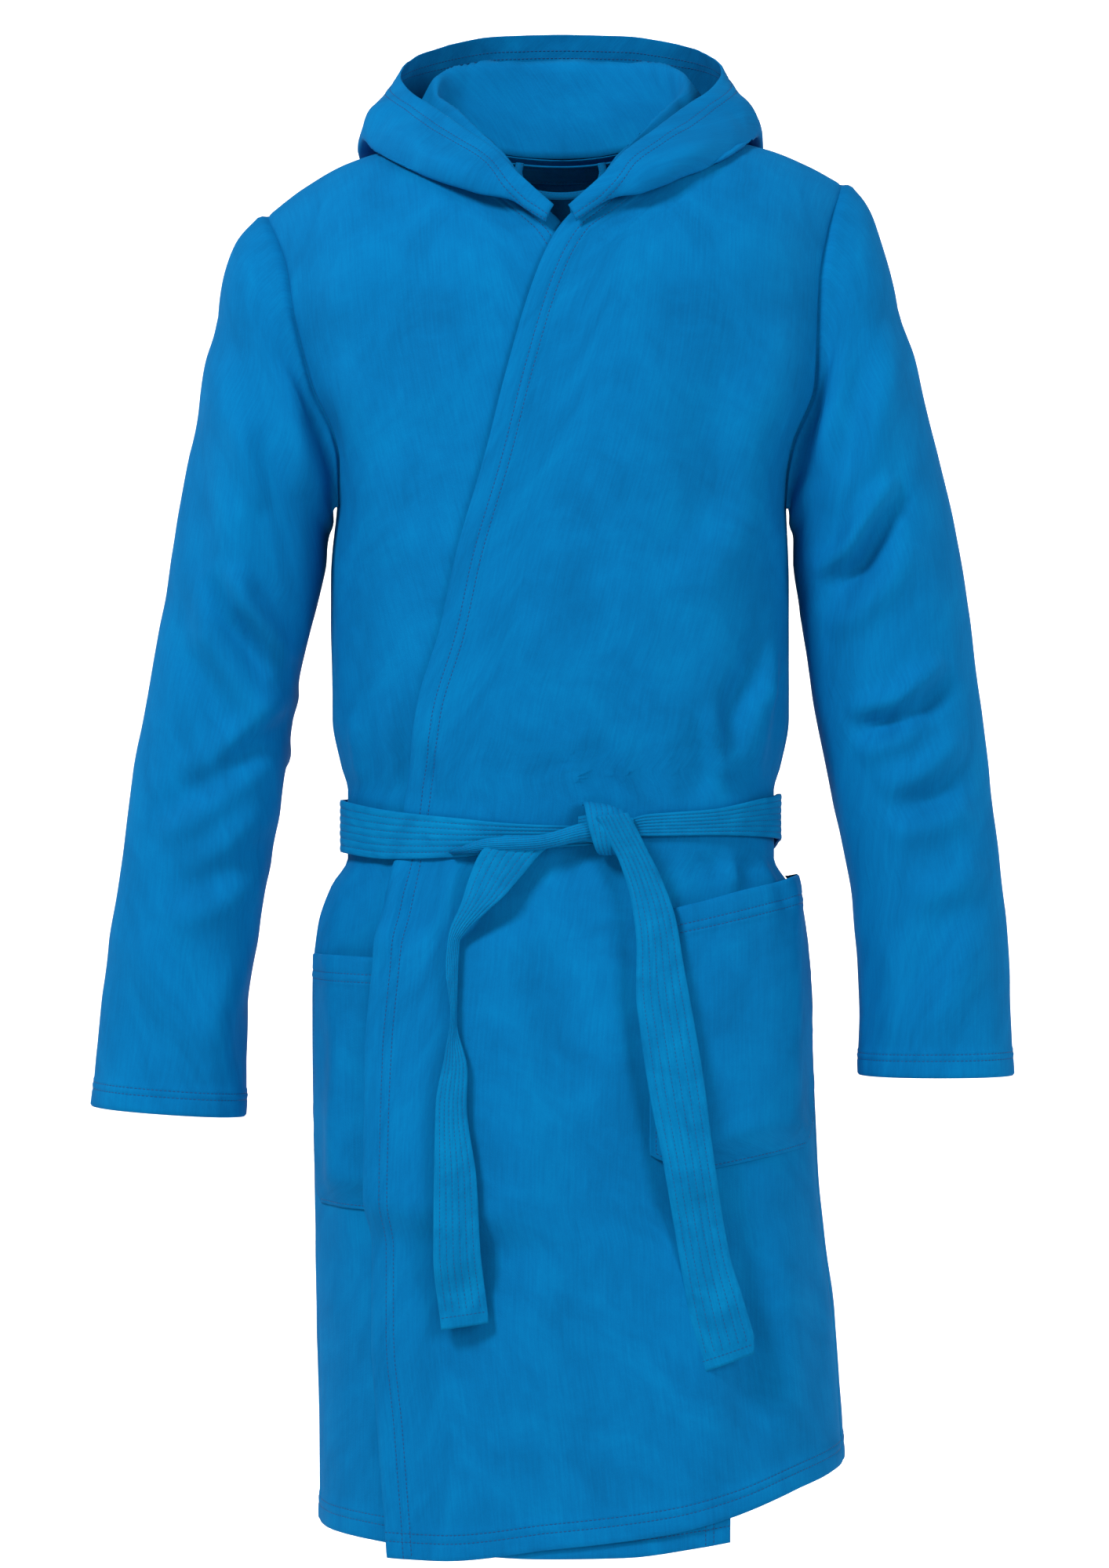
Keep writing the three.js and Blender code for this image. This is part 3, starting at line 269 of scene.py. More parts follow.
@dataclass
class BodyForm:
    """The smooth shape of the worn robe: a squarish section that changes down the body."""

    waist_drop: float = 486
    skirt_length: float = 516
    armhole_drop: float = 256
    shoulder_round: float = 110
    centre_y: float = 6
    power: float = 2.5
    neck_half: float = 80
    chest_half: float = 166
    waist_half: float = 155
    hip_half: float = 181
    chest_front: float = 118
    chest_back: float = 110
    waist_front: float = 101
    waist_back: float = 88
    hem_front: float = 134
    hem_back: float = 126
    seam_edge: float = 0.24
    notch_drop: float = 35
    over_reach: float = 133
    under_reach: float = 119
    back_neck: float = 4
    front_band: float = 19
    body: dict = field(default_factory=dict)
    ease: dict = field(default_factory=dict)
    shoulder: dict = field(default_factory=dict)

    def __post_init__(self) -> None:
        """Works the curves out from the sizes."""
        cf, wf, hf = self.chest_front, self.waist_front, self.hem_front
        cb, wb, hb = self.chest_back, self.waist_back, self.hem_back
        self.front_depth = curve((
            (0, cf - 14), (0.2, cf - 6), (0.45, cf), (0.65, cf - 2), (0.85, wf + 7), (0.95, wf), (1.045, wf),
            (1.11, wf + 6), (1.25, lerp(wf, hf, 0.45)), (1.5, lerp(wf, hf, 0.7)), (2, hf)))
        self.back_depth = curve((
            (0, cb - 12), (0.2, cb), (0.45, cb), (0.65, cb - 8), (0.85, wb + 4), (0.95, wb), (1.045, wb),
            (1.11, wb + 9), (1.25, lerp(wb, hb, 0.58)), (1.5, lerp(wb, hb, 0.8)), (2, hb)))
        self.front_armhole = curve(((0, 0.5), (0.5, 0.48), (0.8, 0.38), (1, self.seam_edge)))
        self.seam_angle = math.acos(self.seam_edge ** (self.power / 2))
        self.back_armhole = curve(((0, 2.0), (0.5, 1.99), (0.76, 1.88), (0.9, 1.66), (1, self.seam_angle)))
        for side, s in SIDE_FORMS.items():
            hip, waist, chest, neck = self.hip_half, self.waist_half, self.chest_half, self.neck_half
            self.body[side] = curve((
                (0.527, s.underarm / self.width_share(self.seam_edge)), (0.628, chest), (0.84, chest),
                (0.91, waist + 5), (0.95, waist), (1.045, waist), (1.085, waist + 12), (1.14, hip - 4),
                (1.22, hip),
                (1.5, lerp(hip, s.hem_half, 0.25)), (1.72, lerp(hip, s.hem_half, 0.72)), (2, s.hem_half)))
            self.ease[side] = curve(s.armhole_ease)
            tip, low = s.shoulder_tip, -s.tip_drop
            self.shoulder[side] = curve((
                (0, 16), (neck, s.neck_height), (lerp(neck, tip, 0.3), lerp(s.neck_height, low, 0.13)),
                (lerp(neck, tip, 0.56), lerp(s.neck_height, low, 0.32)),
                (lerp(neck, tip, 0.8), lerp(s.neck_height, low, 0.64)), (tip, low)))
        r, left, right = self, SIDE_FORMS[Side.LEFT], SIDE_FORMS[Side.RIGHT]
        top = self.notch_drop / self.waist_drop
        self.over_edge = curve((
            (top, -left.notch_reach), (0.1255, 0), (0.193, 17), (0.327, 37), (0.459, 53), (0.599, 73),
            (0.712, 85),
            (0.825, 101), (0.918, r.over_reach - 26), (1, r.over_reach - 21), (1.045, r.over_reach - 17),
            (1.109, r.over_reach - 10), (1.19, r.over_reach - 6), (1.318, r.over_reach - 1),
            (1.686, r.over_reach),
            (1.831, r.over_reach - 5), (2, r.over_reach - 12)))
        self.under_edge = curve((
            (top, -right.notch_reach), (0.1255, 2), (0.193, 18), (0.327, 37), (0.459, 52), (0.6, 70),
            (0.8, r.under_reach - 25), (1, r.under_reach - 11), (1.2, r.under_reach - 1),
            (2, r.under_reach)))
        self.over_rise = curve((
            (-r.under_reach, 0), (-86, 0), (-8, 9), (21, 12), (80, 20), (120, 30), (161, 44),
            (left.hem_half, left.hem_rise)))
        self.under_rise = curve((
            (-right.hem_half, right.hem_rise), (-121, 10), (-60, 4), (-10, 2), (45, 3), (98, 9),
            (r.under_reach, 12)))
        self.back_rise = curve((
            (-right.hem_half, right.hem_rise), (-90, 9), (0, 12), (90, 24), (left.hem_half, left.hem_rise)))

    def width_share(self, share) -> float:
        """Share of the half width at a share of the depth."""
        return (1 - share**self.power) ** (1 / self.power)

    def station(self, z) -> np.ndarray:
        """Place down the body: 0 at the shoulders, 1 at the waist, 2 at the hem."""
        z = np.asarray(z, float)
        return np.where(z >= -self.waist_drop, -z / self.waist_drop,
            1 - (self.waist_drop + z) / self.skirt_length)

    def armhole_share(self, side: Side, z) -> np.ndarray:
        """Share of the way down the armhole."""
        drop = SIDE_FORMS[side].tip_drop
        return np.clip((-drop - z) / (self.armhole_drop - drop), 0, 1)

    def half_width(self, side: Side, z) -> np.ndarray:
        """Half width of the full section at height z."""
        s = SIDE_FORMS[side]
        u = self.armhole_share(side, z)
        edge = lerp(s.underarm, s.shoulder_tip, self.ease[side](u))
        above = edge / self.width_share(self.front_armhole(u))
        return np.where(z <= -self.armhole_drop, self.body[side](self.station(z)), above)

    def front_seam(self, side: Side, z) -> np.ndarray:
        """Angle of the front's armhole or side seam."""
        armhole = np.arccos(self.front_armhole(self.armhole_share(side, z)) ** (self.power / 2))
        return np.where(z <= -self.armhole_drop, self.seam_angle, armhole)

    def back_seam(self, side: Side, z) -> np.ndarray:
        """Angle of the back's armhole or side seam."""
        return np.where(z <= -self.armhole_drop, self.seam_angle,
            self.back_armhole(self.armhole_share(side, z)))

    def skin(self, angle, z) -> np.ndarray:
        """Point of the outer surface; angle 0 is the middle front and pi the middle back."""
        angle, z = np.broadcast_arrays(np.asarray(angle, float), np.asarray(z, float))
        angle = (angle + np.pi) % (2 * np.pi) - np.pi
        out, roof = np.empty(angle.shape), np.empty(angle.shape)
        for side in Side:
            here = (angle < 0) == (side is Side.RIGHT)
            out[here] = self.half_width(side, z[here]) * np.abs(np.sin(angle[here])) ** (2 / self.power)
            roof[here] = self.shoulder[side](out[here])
        c, s = np.cos(angle), self.station(z)
        depth = np.where(c > 0, -self.front_depth(s), self.back_depth(s)) * np.abs(c) ** (2 / self.power)
        fall = np.clip((roof - z) / self.shoulder_round, 0, 1)
        y = self.centre_y + depth * np.sqrt(1 - (1 - fall) ** 2)
        return np.stack([np.where(angle < 0, -out, out), y, z], -1)

    def normal(self, angle, z) -> np.ndarray:
        """Outward direction of that surface."""
        across = self.skin(np.add(angle, 0.004), z) - self.skin(np.subtract(angle, 0.004), z)
        up = self.skin(angle, np.add(z, 0.4)) - self.skin(angle, np.subtract(z, 0.4))
        return unit(np.cross(across, up))

    def angle_at(self, x, z) -> np.ndarray:
        """Angle of a place on the front, given its X and height."""
        x, z = np.broadcast_arrays(np.asarray(x, float), np.asarray(z, float))
        half = np.where(x < 0, self.half_width(Side.RIGHT, z), self.half_width(Side.LEFT, z))
        return np.sign(x) * np.arcsin(np.minimum(1, np.abs(x) / half) ** (self.power / 2))

    def back_angle_at(self, x, z) -> np.ndarray:
        """The same for a place on the back."""
        return np.where(np.asarray(x) < 0, -1, 1) * (np.pi - np.abs(self.angle_at(x, z)))

    def roof(self, x) -> np.ndarray:
        """Height of the shoulder line at x."""
        x = np.asarray(x, float)
        out = np.abs(x)
        return np.where(x < 0, self.shoulder[Side.RIGHT](out), self.shoulder[Side.LEFT](out))

    def front_top(self, x) -> np.ndarray:
        """Top edge of the fronts: shoulder seam, then the neckline down to the notch."""
        x = np.asarray(x, float)
        out = np.abs(x)
        left, right = SIDE_FORMS[Side.LEFT], SIDE_FORMS[Side.RIGHT]
        reach = np.where(x < 0, right.notch_reach, left.notch_reach)
        height = np.where(x < 0, right.neck_height, left.neck_height)
        q = np.clip((self.neck_half - out) / (self.neck_half - reach), 0, 1)
        return np.where(out >= self.neck_half, self.roof(x), lerp(height, -self.notch_drop, q**0.85))

    def back_top(self, x) -> np.ndarray:
        """Top edge of the back: shoulder seam, then the back neckline."""
        x = np.asarray(x, float)
        out = np.abs(x)
        height = np.where(x < 0, SIDE_FORMS[Side.RIGHT].neck_height, SIDE_FORMS[Side.LEFT].neck_height)
        return np.where(out >= self.neck_half, self.roof(x),
            lerp(self.back_neck, height, (out / self.neck_half) ** 2))

    def height_at(self, level, x, top: Curve, rise: Curve) -> np.ndarray:
        """Height of a point in a row, given its place across."""
        keep = 1 - smooth(0, 200, -level)
        at_hem = smooth(self.waist_drop + 0.55 * self.skirt_length, self.waist_drop + self.skirt_length,
            -level)
        return level + top(x) * keep + rise(x) * at_hem

    def settle(self, level, angle_of: Curve, top: Curve, rise: Curve) -> tuple[np.ndarray, np.ndarray]:
        """Angle and height of grid points, where each depends on the other."""
        z = np.array(level, float)
        for _ in range(9):
            angle = angle_of(z)
            z = self.height_at(level, self.skin(angle, z)[..., 0], top, rise)
        return angle_of(z), z

    def edge_x(self, side: Side, z) -> np.ndarray:
        """Place of a front's free edge at height z."""
        table = self.over_edge if side is Side.LEFT else self.under_edge
        return -side.value * table(self.station(z))

    def edge_secant(self, side: Side, z) -> np.ndarray:
        """Length along a level line for each millimetre square to the free edge."""
        below = np.minimum(z, -self.notch_drop - 10)
        slope = (self.edge_x(side, below + 4) - self.edge_x(side, below - 4)) / 8
        return np.sqrt(1 + slope**2)


FORM = BodyForm()
CLOTH = 2.0  # thickness that the layers' spacing allows for one sheet
LAYER_GAP = 1.4


@dataclass(frozen=True)
class PocketForm:
    """Outline of a patch pocket on its front, seen from the front."""

    gape: float
    inner: float
    outer: float
    mouth: float
    mouth_rise: float
    bottom: float
    bottom_rise: float
    corner: float = 18
    seat: float = 0.95
    sewn: float = 26

    def inside(self, side: Side, x, z, open_top: float) -> np.ndarray:
        """Distance inside the outline, with its top edge raised by open_top."""
        out = side.value * np.asarray(x, float)
        across = np.clip((out - self.inner) / (self.outer - self.inner), 0, 1)
        top = self.mouth + self.mouth_rise * across + open_top
        bottom = self.bottom + self.bottom_rise * across
        return np.minimum(np.minimum(out - self.inner, self.outer - out), np.minimum(top - z, z - bottom))

    def room(self, side: Side, x, z) -> np.ndarray:
        """Room between the pocket and its front."""
        return self.seat + (self.gape - self.seat) * smooth(1, self.sewn, self.inside(side, x, z, 200))


POCKET_FORMS = {
    Side.LEFT: PocketForm(11, 62, 180, -549, 26, -736, 22),
    Side.RIGHT: PocketForm(9, 24, 178, -584, 6, -764, 8),
}


def cover_offset(x, z) -> np.ndarray:
    """Distance from the body's surface to the inner face of the front that laps over."""
    start = np.maximum(FORM.edge_x(Side.RIGHT, z) + 20, 12)
    release = smooth(0, 40, np.asarray(x) - start)
    under = POCKET_FORMS[Side.RIGHT]
    bump = (under.gape + CLOTH + 0.4) * smooth(-24, 10, under.inside(Side.RIGHT, x, z, 16))
    return lerp(LAYER_GAP + bump, -CLOTH, release)


# Creases seen from the front. The belt draws the cloth in, so most of them start from it.
FRONT_FOLDS = (
    Fold(((-150, -405), (-147, -440), (-146, -466)), 6, 2.6, 0.6),
    Fold(((-128, -395), (-124, -430), (-121, -464)), 7, 1.8, -0.5),
    Fold(((-84, -425), (-82, -450), (-81, -470)), 5, 2.4, 0.6),
    Fold(((-60, -430), (-52, -455), (-49, -472)), 5, 1.6, -0.6),
    Fold(((8, -410), (13, -445), (15, -472)), 6, 2.4, 0.7),
    Fold(((40, -415), (46, -450), (49, -474)), 6, 2.6, 0.6),
    Fold(((72, -420), (78, -450), (80, -470)), 5, 1.6, -0.5),
    Fold(((104, -400), (114, -440), (121, -466)), 7, 2.8, 0.6),
    Fold(((155, -352), (146, -385), (137, -402), (127, -446)), 9, 4.2, 0.7),
    Fold(((163, -300), (158, -345), (143, -425), (136, -462)), 8, 2.2, -0.6),
    Fold(((-76, -505), (-76, -535), (-79, -560)), 6, 2.4, 0.6),
    Fold(((-112, -505), (-116, -540), (-121, -580)), 7, 2.4, -0.5),
    Fold(((17, -500), (18, -540), (20, -575)), 6, 2.2, 0.6),
    Fold(((52, -500), (56, -540), (66, -600), (70, -680)), 9, 2.4, 0.5),
    Fold(((113, -495), (118, -515), (121, -535)), 5, 2.2, 0.6),
    Fold(((-151, -498), (-160, -515), (-168, -535), (-172, -560)), 7, 3.2, 0.6),
    Fold(((135, -498), (146, -520), (160, -540), (166, -556)), 6, 2.6, 0.5),
    Fold(((0, -560), (-4, -680), (-12, -820), (-18, -940)), 26, 3.4, 0.6),
    Fold(((90, -760), (98, -850), (104, -960)), 22, 3.0, -0.5),
    Fold(((-100, -640), (-104, -760), (-100, -900)), 20, 2.2, 0.5),
    Fold(((150, -760), (158, -850), (164, -930)), 16, 2.6, 0.5),
    Fold(((30, -610), (34, -700), (46, -800)), 18, 2.2, -0.6),
    Fold(((-150, -610), (-154, -700), (-152, -790)), 10, 2.0, 0.5),
    Fold(((-66, -70), (-78, -130), (-88, -210)), 20, 1.6, 0.4),
    Fold(((165, -120), (150, -190), (128, -260)), 22, 2.4, 0.5),
    Fold(((-160, -150), (-140, -220), (-118, -300)), 22, 2.6, -0.5),
    Fold(((150, -235), (118, -290), (80, -330)), 18, 2.2, 0.5),
    Fold(((20, -90), (42, -170), (52, -260)), 26, 1.8, 0.5),
    Fold(((-20, -330), (10, -380), (34, -430)), 16, 1.8, 0.5),
    Fold(((30, -300), (60, -360), (84, -430)), 14, 1.6, 0.5),
)

# Creases of the back: a hang from the shoulder blades, and what the belt draws in.
BACK_FOLDS = (
    Fold(((-100, -150), (-92, -280), (-70, -400), (-60, -462)), 20, 3.6, 0.5),
    Fold(((105, -140), (94, -260), (72, -390), (64, -462)), 20, 3.4, -0.5),
    Fold(((0, -190), (4, -320), (2, -464)), 22, 2.6, 0.5),
    Fold(((-40, -330), (-30, -400), (-28, -466)), 10, 2.4, 0.5),
    Fold(((36, -340), (30, -410), (30, -466)), 10, 2.2, -0.5),
    Fold(((-112, -400), (-108, -440), (-106, -466)), 8, 2.6, 0.5),
    Fold(((116, -390), (108, -440), (104, -466)), 8, 2.6, 0.5),
    Fold(((-90, -505), (-100, -600), (-112, -760), (-118, -920)), 18, 4.4, 0.5),
    Fold(((-36, -505), (-40, -620), (-48, -780), (-52, -950)), 20, 4.6, -0.5),
    Fold(((24, -505), (28, -640), (36, -800), (42, -960)), 20, 4.4, 0.5),
    Fold(((82, -505), (92, -620), (108, -780), (120, -940)), 18, 4.2, -0.5),
    Fold(((128, -505), (138, -580), (152, -700)), 12, 3.0, 0.5),
)


def softness(p: np.ndarray) -> np.ndarray:
    """Wide shallow waves that all hanging cloth of the robe has."""
    return 1.5 * noise(p * np.array([1, 1, 0.55]), 58, 3) + 0.55 * noise(p * np.array([1, 1, 0.7]), 21, 5)


def gathers(x: np.ndarray, z: np.ndarray, seed: int) -> np.ndarray:
    """Small pleats that run off the belt's upper and lower edge."""
    above = z > -FORM.waist_drop
    away = np.abs(z + FORM.waist_drop) - 19
    row = np.stack([x, np.where(above, 0.0, 400.0), np.zeros_like(x)], -1)
    reach = 24 + 34 * np.abs(noise(row, 17, seed + 1))
    pleat = noise(row, 11, seed)
    return 3.2 * pleat * np.exp(-np.maximum(away, 0) / reach) * smooth(-2, 7, away)


def relief(p: np.ndarray, back: bool) -> np.ndarray:
    """How far the body's cloth stands off its smooth shape.

    Args:
        p: points on the smooth shape.
        back: whether they belong to the back panel.
    Returns:
        Distance along the outward direction.
    """
    x, z = p[..., 0], p[..., 2]
    folds = folds_height(x, z, BACK_FOLDS if back else FRONT_FOLDS)
    side_seam = smooth(0.97, 0.86, np.abs(x) / np.maximum(1, FORM.half_width(Side.LEFT, z)))
    free = 1 - np.exp(-(((z + FORM.waist_drop) / 25) ** 4))
    top = smooth(0, 45, FORM.roof(x) - z)
    total = folds * side_seam + softness(p) + gathers(x, z, 11 if back else 7) * side_seam
    return total * free * top


# ------------------------------------------------------------------ meshes


@dataclass
class Grid:
    """A sheet of cloth as rows and columns of points on its outer and inner face."""

    outer: np.ndarray
    inner: np.ndarray
    wrap: bool = False

    def across(self) -> np.ndarray:
        """Cloth length along each row, for the pattern."""
        pts = np.concatenate([self.outer, self.outer[:, :1]], 1) if self.wrap else self.outer
        steps = np.linalg.norm(np.diff(pts, axis=1), axis=-1)
        return np.concatenate([np.zeros((len(pts), 1)), np.cumsum(steps, 1)], 1)

    def along(self) -> np.ndarray:
        """Cloth length down each column, for the pattern."""
        steps = np.linalg.norm(np.diff(self.outer, axis=0), axis=-1)
        down = np.concatenate([np.zeros((1, steps.shape[1])), np.cumsum(steps, 0)], 0)
        return np.concatenate([down, down[:, :1]], 1) if self.wrap else down

    def normals(self) -> np.ndarray:
        """Outward directions, away from the inner face."""
        return unit(self.outer - self.inner)


def mesh_object(name: str, points: np.ndarray, faces: np.ndarray, uv: np.ndarray | None,
    material) -> bpy.types.Object:
    """New mesh object from arrays.

    Args:
        name: the piece's name.
        points: (n, 3) in millimetres.
        faces: (m, 4) corners of the quads.
        uv: (m, 4, 2) pattern coordinates in metres, or None.
        material: its material.
    Returns:
        The object, linked to the scene.
    """
    a, b, c, d = (points[faces[:, k]] for k in range(4))
    volume = np.einsum("ij,ij->", a, np.cross(b, c)) + np.einsum("ij,ij->", a, np.cross(c, d))
    if volume < 0:
        faces = faces[:, ::-1]
        uv = None if uv is None else uv[:, ::-1]
    mesh = bpy.data.meshes.new(name)
    mesh.from_pydata((points * MM).tolist(), [], faces.tolist())
    if uv is not None:
        mesh.uv_layers.new(name="cloth").data.foreach_set("uv", uv.reshape(-1).astype(np.float32))
    mesh.polygons.foreach_set("use_smooth", [True] * len(faces))
    mesh.materials.append(material)
    mesh.update()
    obj = bpy.data.objects.new(name, mesh)
    bpy.context.collection.objects.link(obj)
    return obj


def sheet_object(name: str, grid: Grid, material: bpy.types.Material, turn: bool = False) -> bpy.types.Object:
    """Closed mesh of one sheet of cloth.

    Args:
        name: the piece's name.
        grid: its two faces.
        material: its material.
        turn: whether the pattern's length runs along the rows.
    Returns:
        The object.
    """
    rows, cols = grid.outer.shape[:2]
    count = rows * cols
    index = np.arange(count).reshape(rows, cols)
    i, j = np.meshgrid(np.arange(rows - 1), np.arange(cols if grid.wrap else cols - 1), indexing="ij")
    i, j = i.ravel(), j.ravel()
    k = (j + 1) % cols
    u, v = grid.across() * MM, grid.along() * MM
    if turn:
        u, v = v, u

    def corner_uv(ci, cj):
        """Pattern coordinates of grid corners."""
        return np.stack([u[ci, cj], v[ci, cj]], -1)

    face = np.stack([index[i, j], index[i, k], index[i + 1, k], index[i + 1, j]], 1)
    uv = np.stack([corner_uv(i, j), corner_uv(i, j + 1), corner_uv(i + 1, j + 1), corner_uv(i + 1, j)], 1)
    faces, uvs = [face, face[:, ::-1] + count], [uv, uv[:, ::-1]]
    c = np.arange(cols if grid.wrap else cols - 1)
    for row, flip in ((0, True), (rows - 1, False)):
        n = (c + 1) % cols
        rim = np.stack([index[row, c], index[row, n], index[row, n] + count, index[row, c] + count], 1)
        rim_uv = np.stack([corner_uv(row, c), corner_uv(row, c + 1), corner_uv(row, c + 1),
            corner_uv(row, c)], 1)
        faces.append(rim[:, ::-1] if flip else rim)
        uvs.append(rim_uv[:, ::-1] if flip else rim_uv)
    if not grid.wrap:
        r = np.arange(rows - 1)
        for col, flip in ((0, False), (cols - 1, True)):
            rim = np.stack([index[r, col], index[r + 1, col], index[r + 1, col] + count,
                index[r, col] + count], 1)
            rim_uv = np.stack([corner_uv(r, col), corner_uv(r + 1, col), corner_uv(r + 1, col),
                corner_uv(r, col)], 1)
            faces.append(rim[:, ::-1] if flip else rim)
            uvs.append(rim_uv[:, ::-1] if flip else rim_uv)
    points = np.concatenate([grid.outer.reshape(-1, 3), grid.inner.reshape(-1, 3)])
    return mesh_object(name, points, np.concatenate(faces), np.concatenate(uvs), material)


@dataclass
class Threads:
    """Stitches of sewing thread: short tapered bars in rows, sunk a little into the cloth."""

    pitch: float = 3.1
    length: float = 2.3
    width: float = 0.34
    rise: float = 0.22
    points: list = field(default_factory=list)
    faces: list = field(default_factory=list)
    count: int = 0

    def row(self, path: np.ndarray, normals: np.ndarray) -> None:
        """Adds stitches along a line on the cloth.

        Args:
            path: (n, 3) points on the cloth's face.
            normals: outward directions there.
        """
        steps = np.linalg.norm(np.diff(path, axis=0), axis=1)
        reach = np.concatenate([[0], np.cumsum(steps)])
        spots = np.arange(self.pitch / 2, reach[-1] - self.length / 2, self.pitch)
        if not len(spots):
            return
        rings = ((-0.5, 0.35), (-0.3, 1.0), (0.3, 1.0), (0.5, 0.35))
        block = []
        for share, thick in rings:
            s = spots + share * self.length
            p = np.stack([np.interp(s, reach, path[:, k]) for k in range(3)], -1)
            n = unit(np.stack([np.interp(s, reach, normals[:, k]) for k in range(3)], -1))
            e = np.stack([np.interp(s + 0.5, reach, path[:, k]) - np.interp(s - 0.5, reach, path[:, k])
                          for k in range(3)], -1)
            side = unit(np.cross(n, e))
            lift = self.rise * (thick - 0.5)
            for a in range(5):
                turn = 2 * math.pi * a / 5
                block.append(p + n * (lift + math.sin(turn) * self.width * thick * 0.5)
                             + side * (math.cos(turn) * self.width * thick))
        block = np.stack(block, 1)
        base = self.count + np.arange(len(spots)) * 20
        for r in range(3):
            for a in range(5):
                q = [r * 5 + a, r * 5 + (a + 1) % 5, (r + 1) * 5 + (a + 1) % 5, (r + 1) * 5 + a]
                self.faces.append(np.stack([base + k for k in q], 1))
        for ring, order in ((0, (0, 4, 3, 1)), (3, (0, 1, 3, 4))):
            self.faces.append(np.stack([base + ring * 5 + k for k in order], 1))
            tri = (1, 3, 2) if ring == 0 else (1, 2, 3)
            self.faces.append(np.stack([base + ring * 5 + k for k in (*tri, tri[-1])], 1))
        self.points.append(block.reshape(-1, 3))
        self.count += block.shape[0] * 20

    def build(self, name: str, material: bpy.types.Material) -> bpy.types.Object:
        """Mesh of all stitches added so far."""
        points = np.concatenate(self.points)
        faces = np.concatenate(self.faces)
        mesh = bpy.data.meshes.new(name)
        corners = [list(dict.fromkeys(f)) for f in faces.tolist()]
        mesh.from_pydata((points * MM).tolist(), [], corners)
        mesh.polygons.foreach_set("use_smooth", [True] * len(corners))
        mesh.materials.append(material)
        mesh.update()
        obj = bpy.data.objects.new(name, mesh)
        bpy.context.collection.objects.link(obj)
        return obj


@dataclass(frozen=True)
class TurnedHem:
    """A folded edge held by two rows of stitches, measured from the edge."""

    near: float = 12.0
    far: float = 17.8
    width: float = 19.5
    swell: float = 0.75
    groove: float = 0.55
    groove_half: float = 1.1

    def stations(self) -> list[float]:
        """Distances from the edge where the mesh needs a row of points."""
        marks = [0.0, 0.5, 1.4, 4.0, 7.5]
        for line in (self.near, self.far):
            marks += [line - 1.8, line - 0.9, line, line + 0.9]
        marks += [self.far + 1.9, self.far + 3.2]
        return sorted(set(round(m, 2) for m in marks))

    def rise(self, d) -> np.ndarray:
        """Height of the doubled cloth above the single sheet, at a distance from the edge."""
        d = np.asarray(d, float)
        plateau = self.swell * smooth(-0.2, 1.4, d) * (1 - smooth(self.width - 1, self.width + 1.6, d))
        lines = sum(np.exp(-(((d - line) / self.groove_half) ** 2)) for line in (self.near, self.far))
        puff = 0.25 * np.exp(-(((d - (self.near + self.far) / 2) / 2) ** 2))
        return plateau - self.groove * lines + puff - 0.35 * np.exp(-((d / 0.7) ** 2))


SHEET = 0.9  # one sheet of brushed microfibre
SEAM_DIP = 1.1  # how far cloth dips into a sewn seam


def seam_dip(distance) -> np.ndarray:
    """How far cloth sinks towards a seam at a distance from it."""
    return -SEAM_DIP * np.exp(-((np.asarray(distance, float) / 2.2) ** 2))


def pucker(p: np.ndarray, strength: float) -> np.ndarray:
    """Small ripples that stitching draws into cloth."""
    return strength * (noise(p, 9, 21) + 0.6 * noise(p, 4.5, 22))


# ------------------------------------------------------------------ finishes


def linear(hex_colour: str) -> tuple[float, float, float, float]:
    """Linear colour of an sRGB hex value."""
    rgb = [int(hex_colour[i:i + 2], 16) / 255 for i in (1, 3, 5)]
    return tuple(c / 12.92 if c <= 0.04045 else ((c + 0.055) / 1.055) ** 2.4 for c in rgb) + (1.0,)


def add_node(tree, kind: str, links: dict | None = None, inputs: dict | None = None, **settings):
    """Adds one node to a material.

    Args:
        tree: the material's node tree.
        kind: the node's type.
        links: input name to the socket that feeds it.
        inputs: input name to its value.
        **settings: the node's own settings.
    Returns:
        The node.
    """
    node = tree.nodes.new(kind)
    for key, value in settings.items():
        setattr(node, key, value)
    for key, value in (inputs or {}).items():
        node.inputs[key].default_value = value
    for key, socket in (links or {}).items():
        tree.links.new(socket, node.inputs[key])
    return node


def blank_material(name: str) -> tuple[bpy.types.Material, bpy.types.NodeTree]:
    """New material without nodes."""
    material = bpy.data.materials.new(name)
    material.use_nodes = True
    material.node_tree.nodes.clear()
    return material, material.node_tree


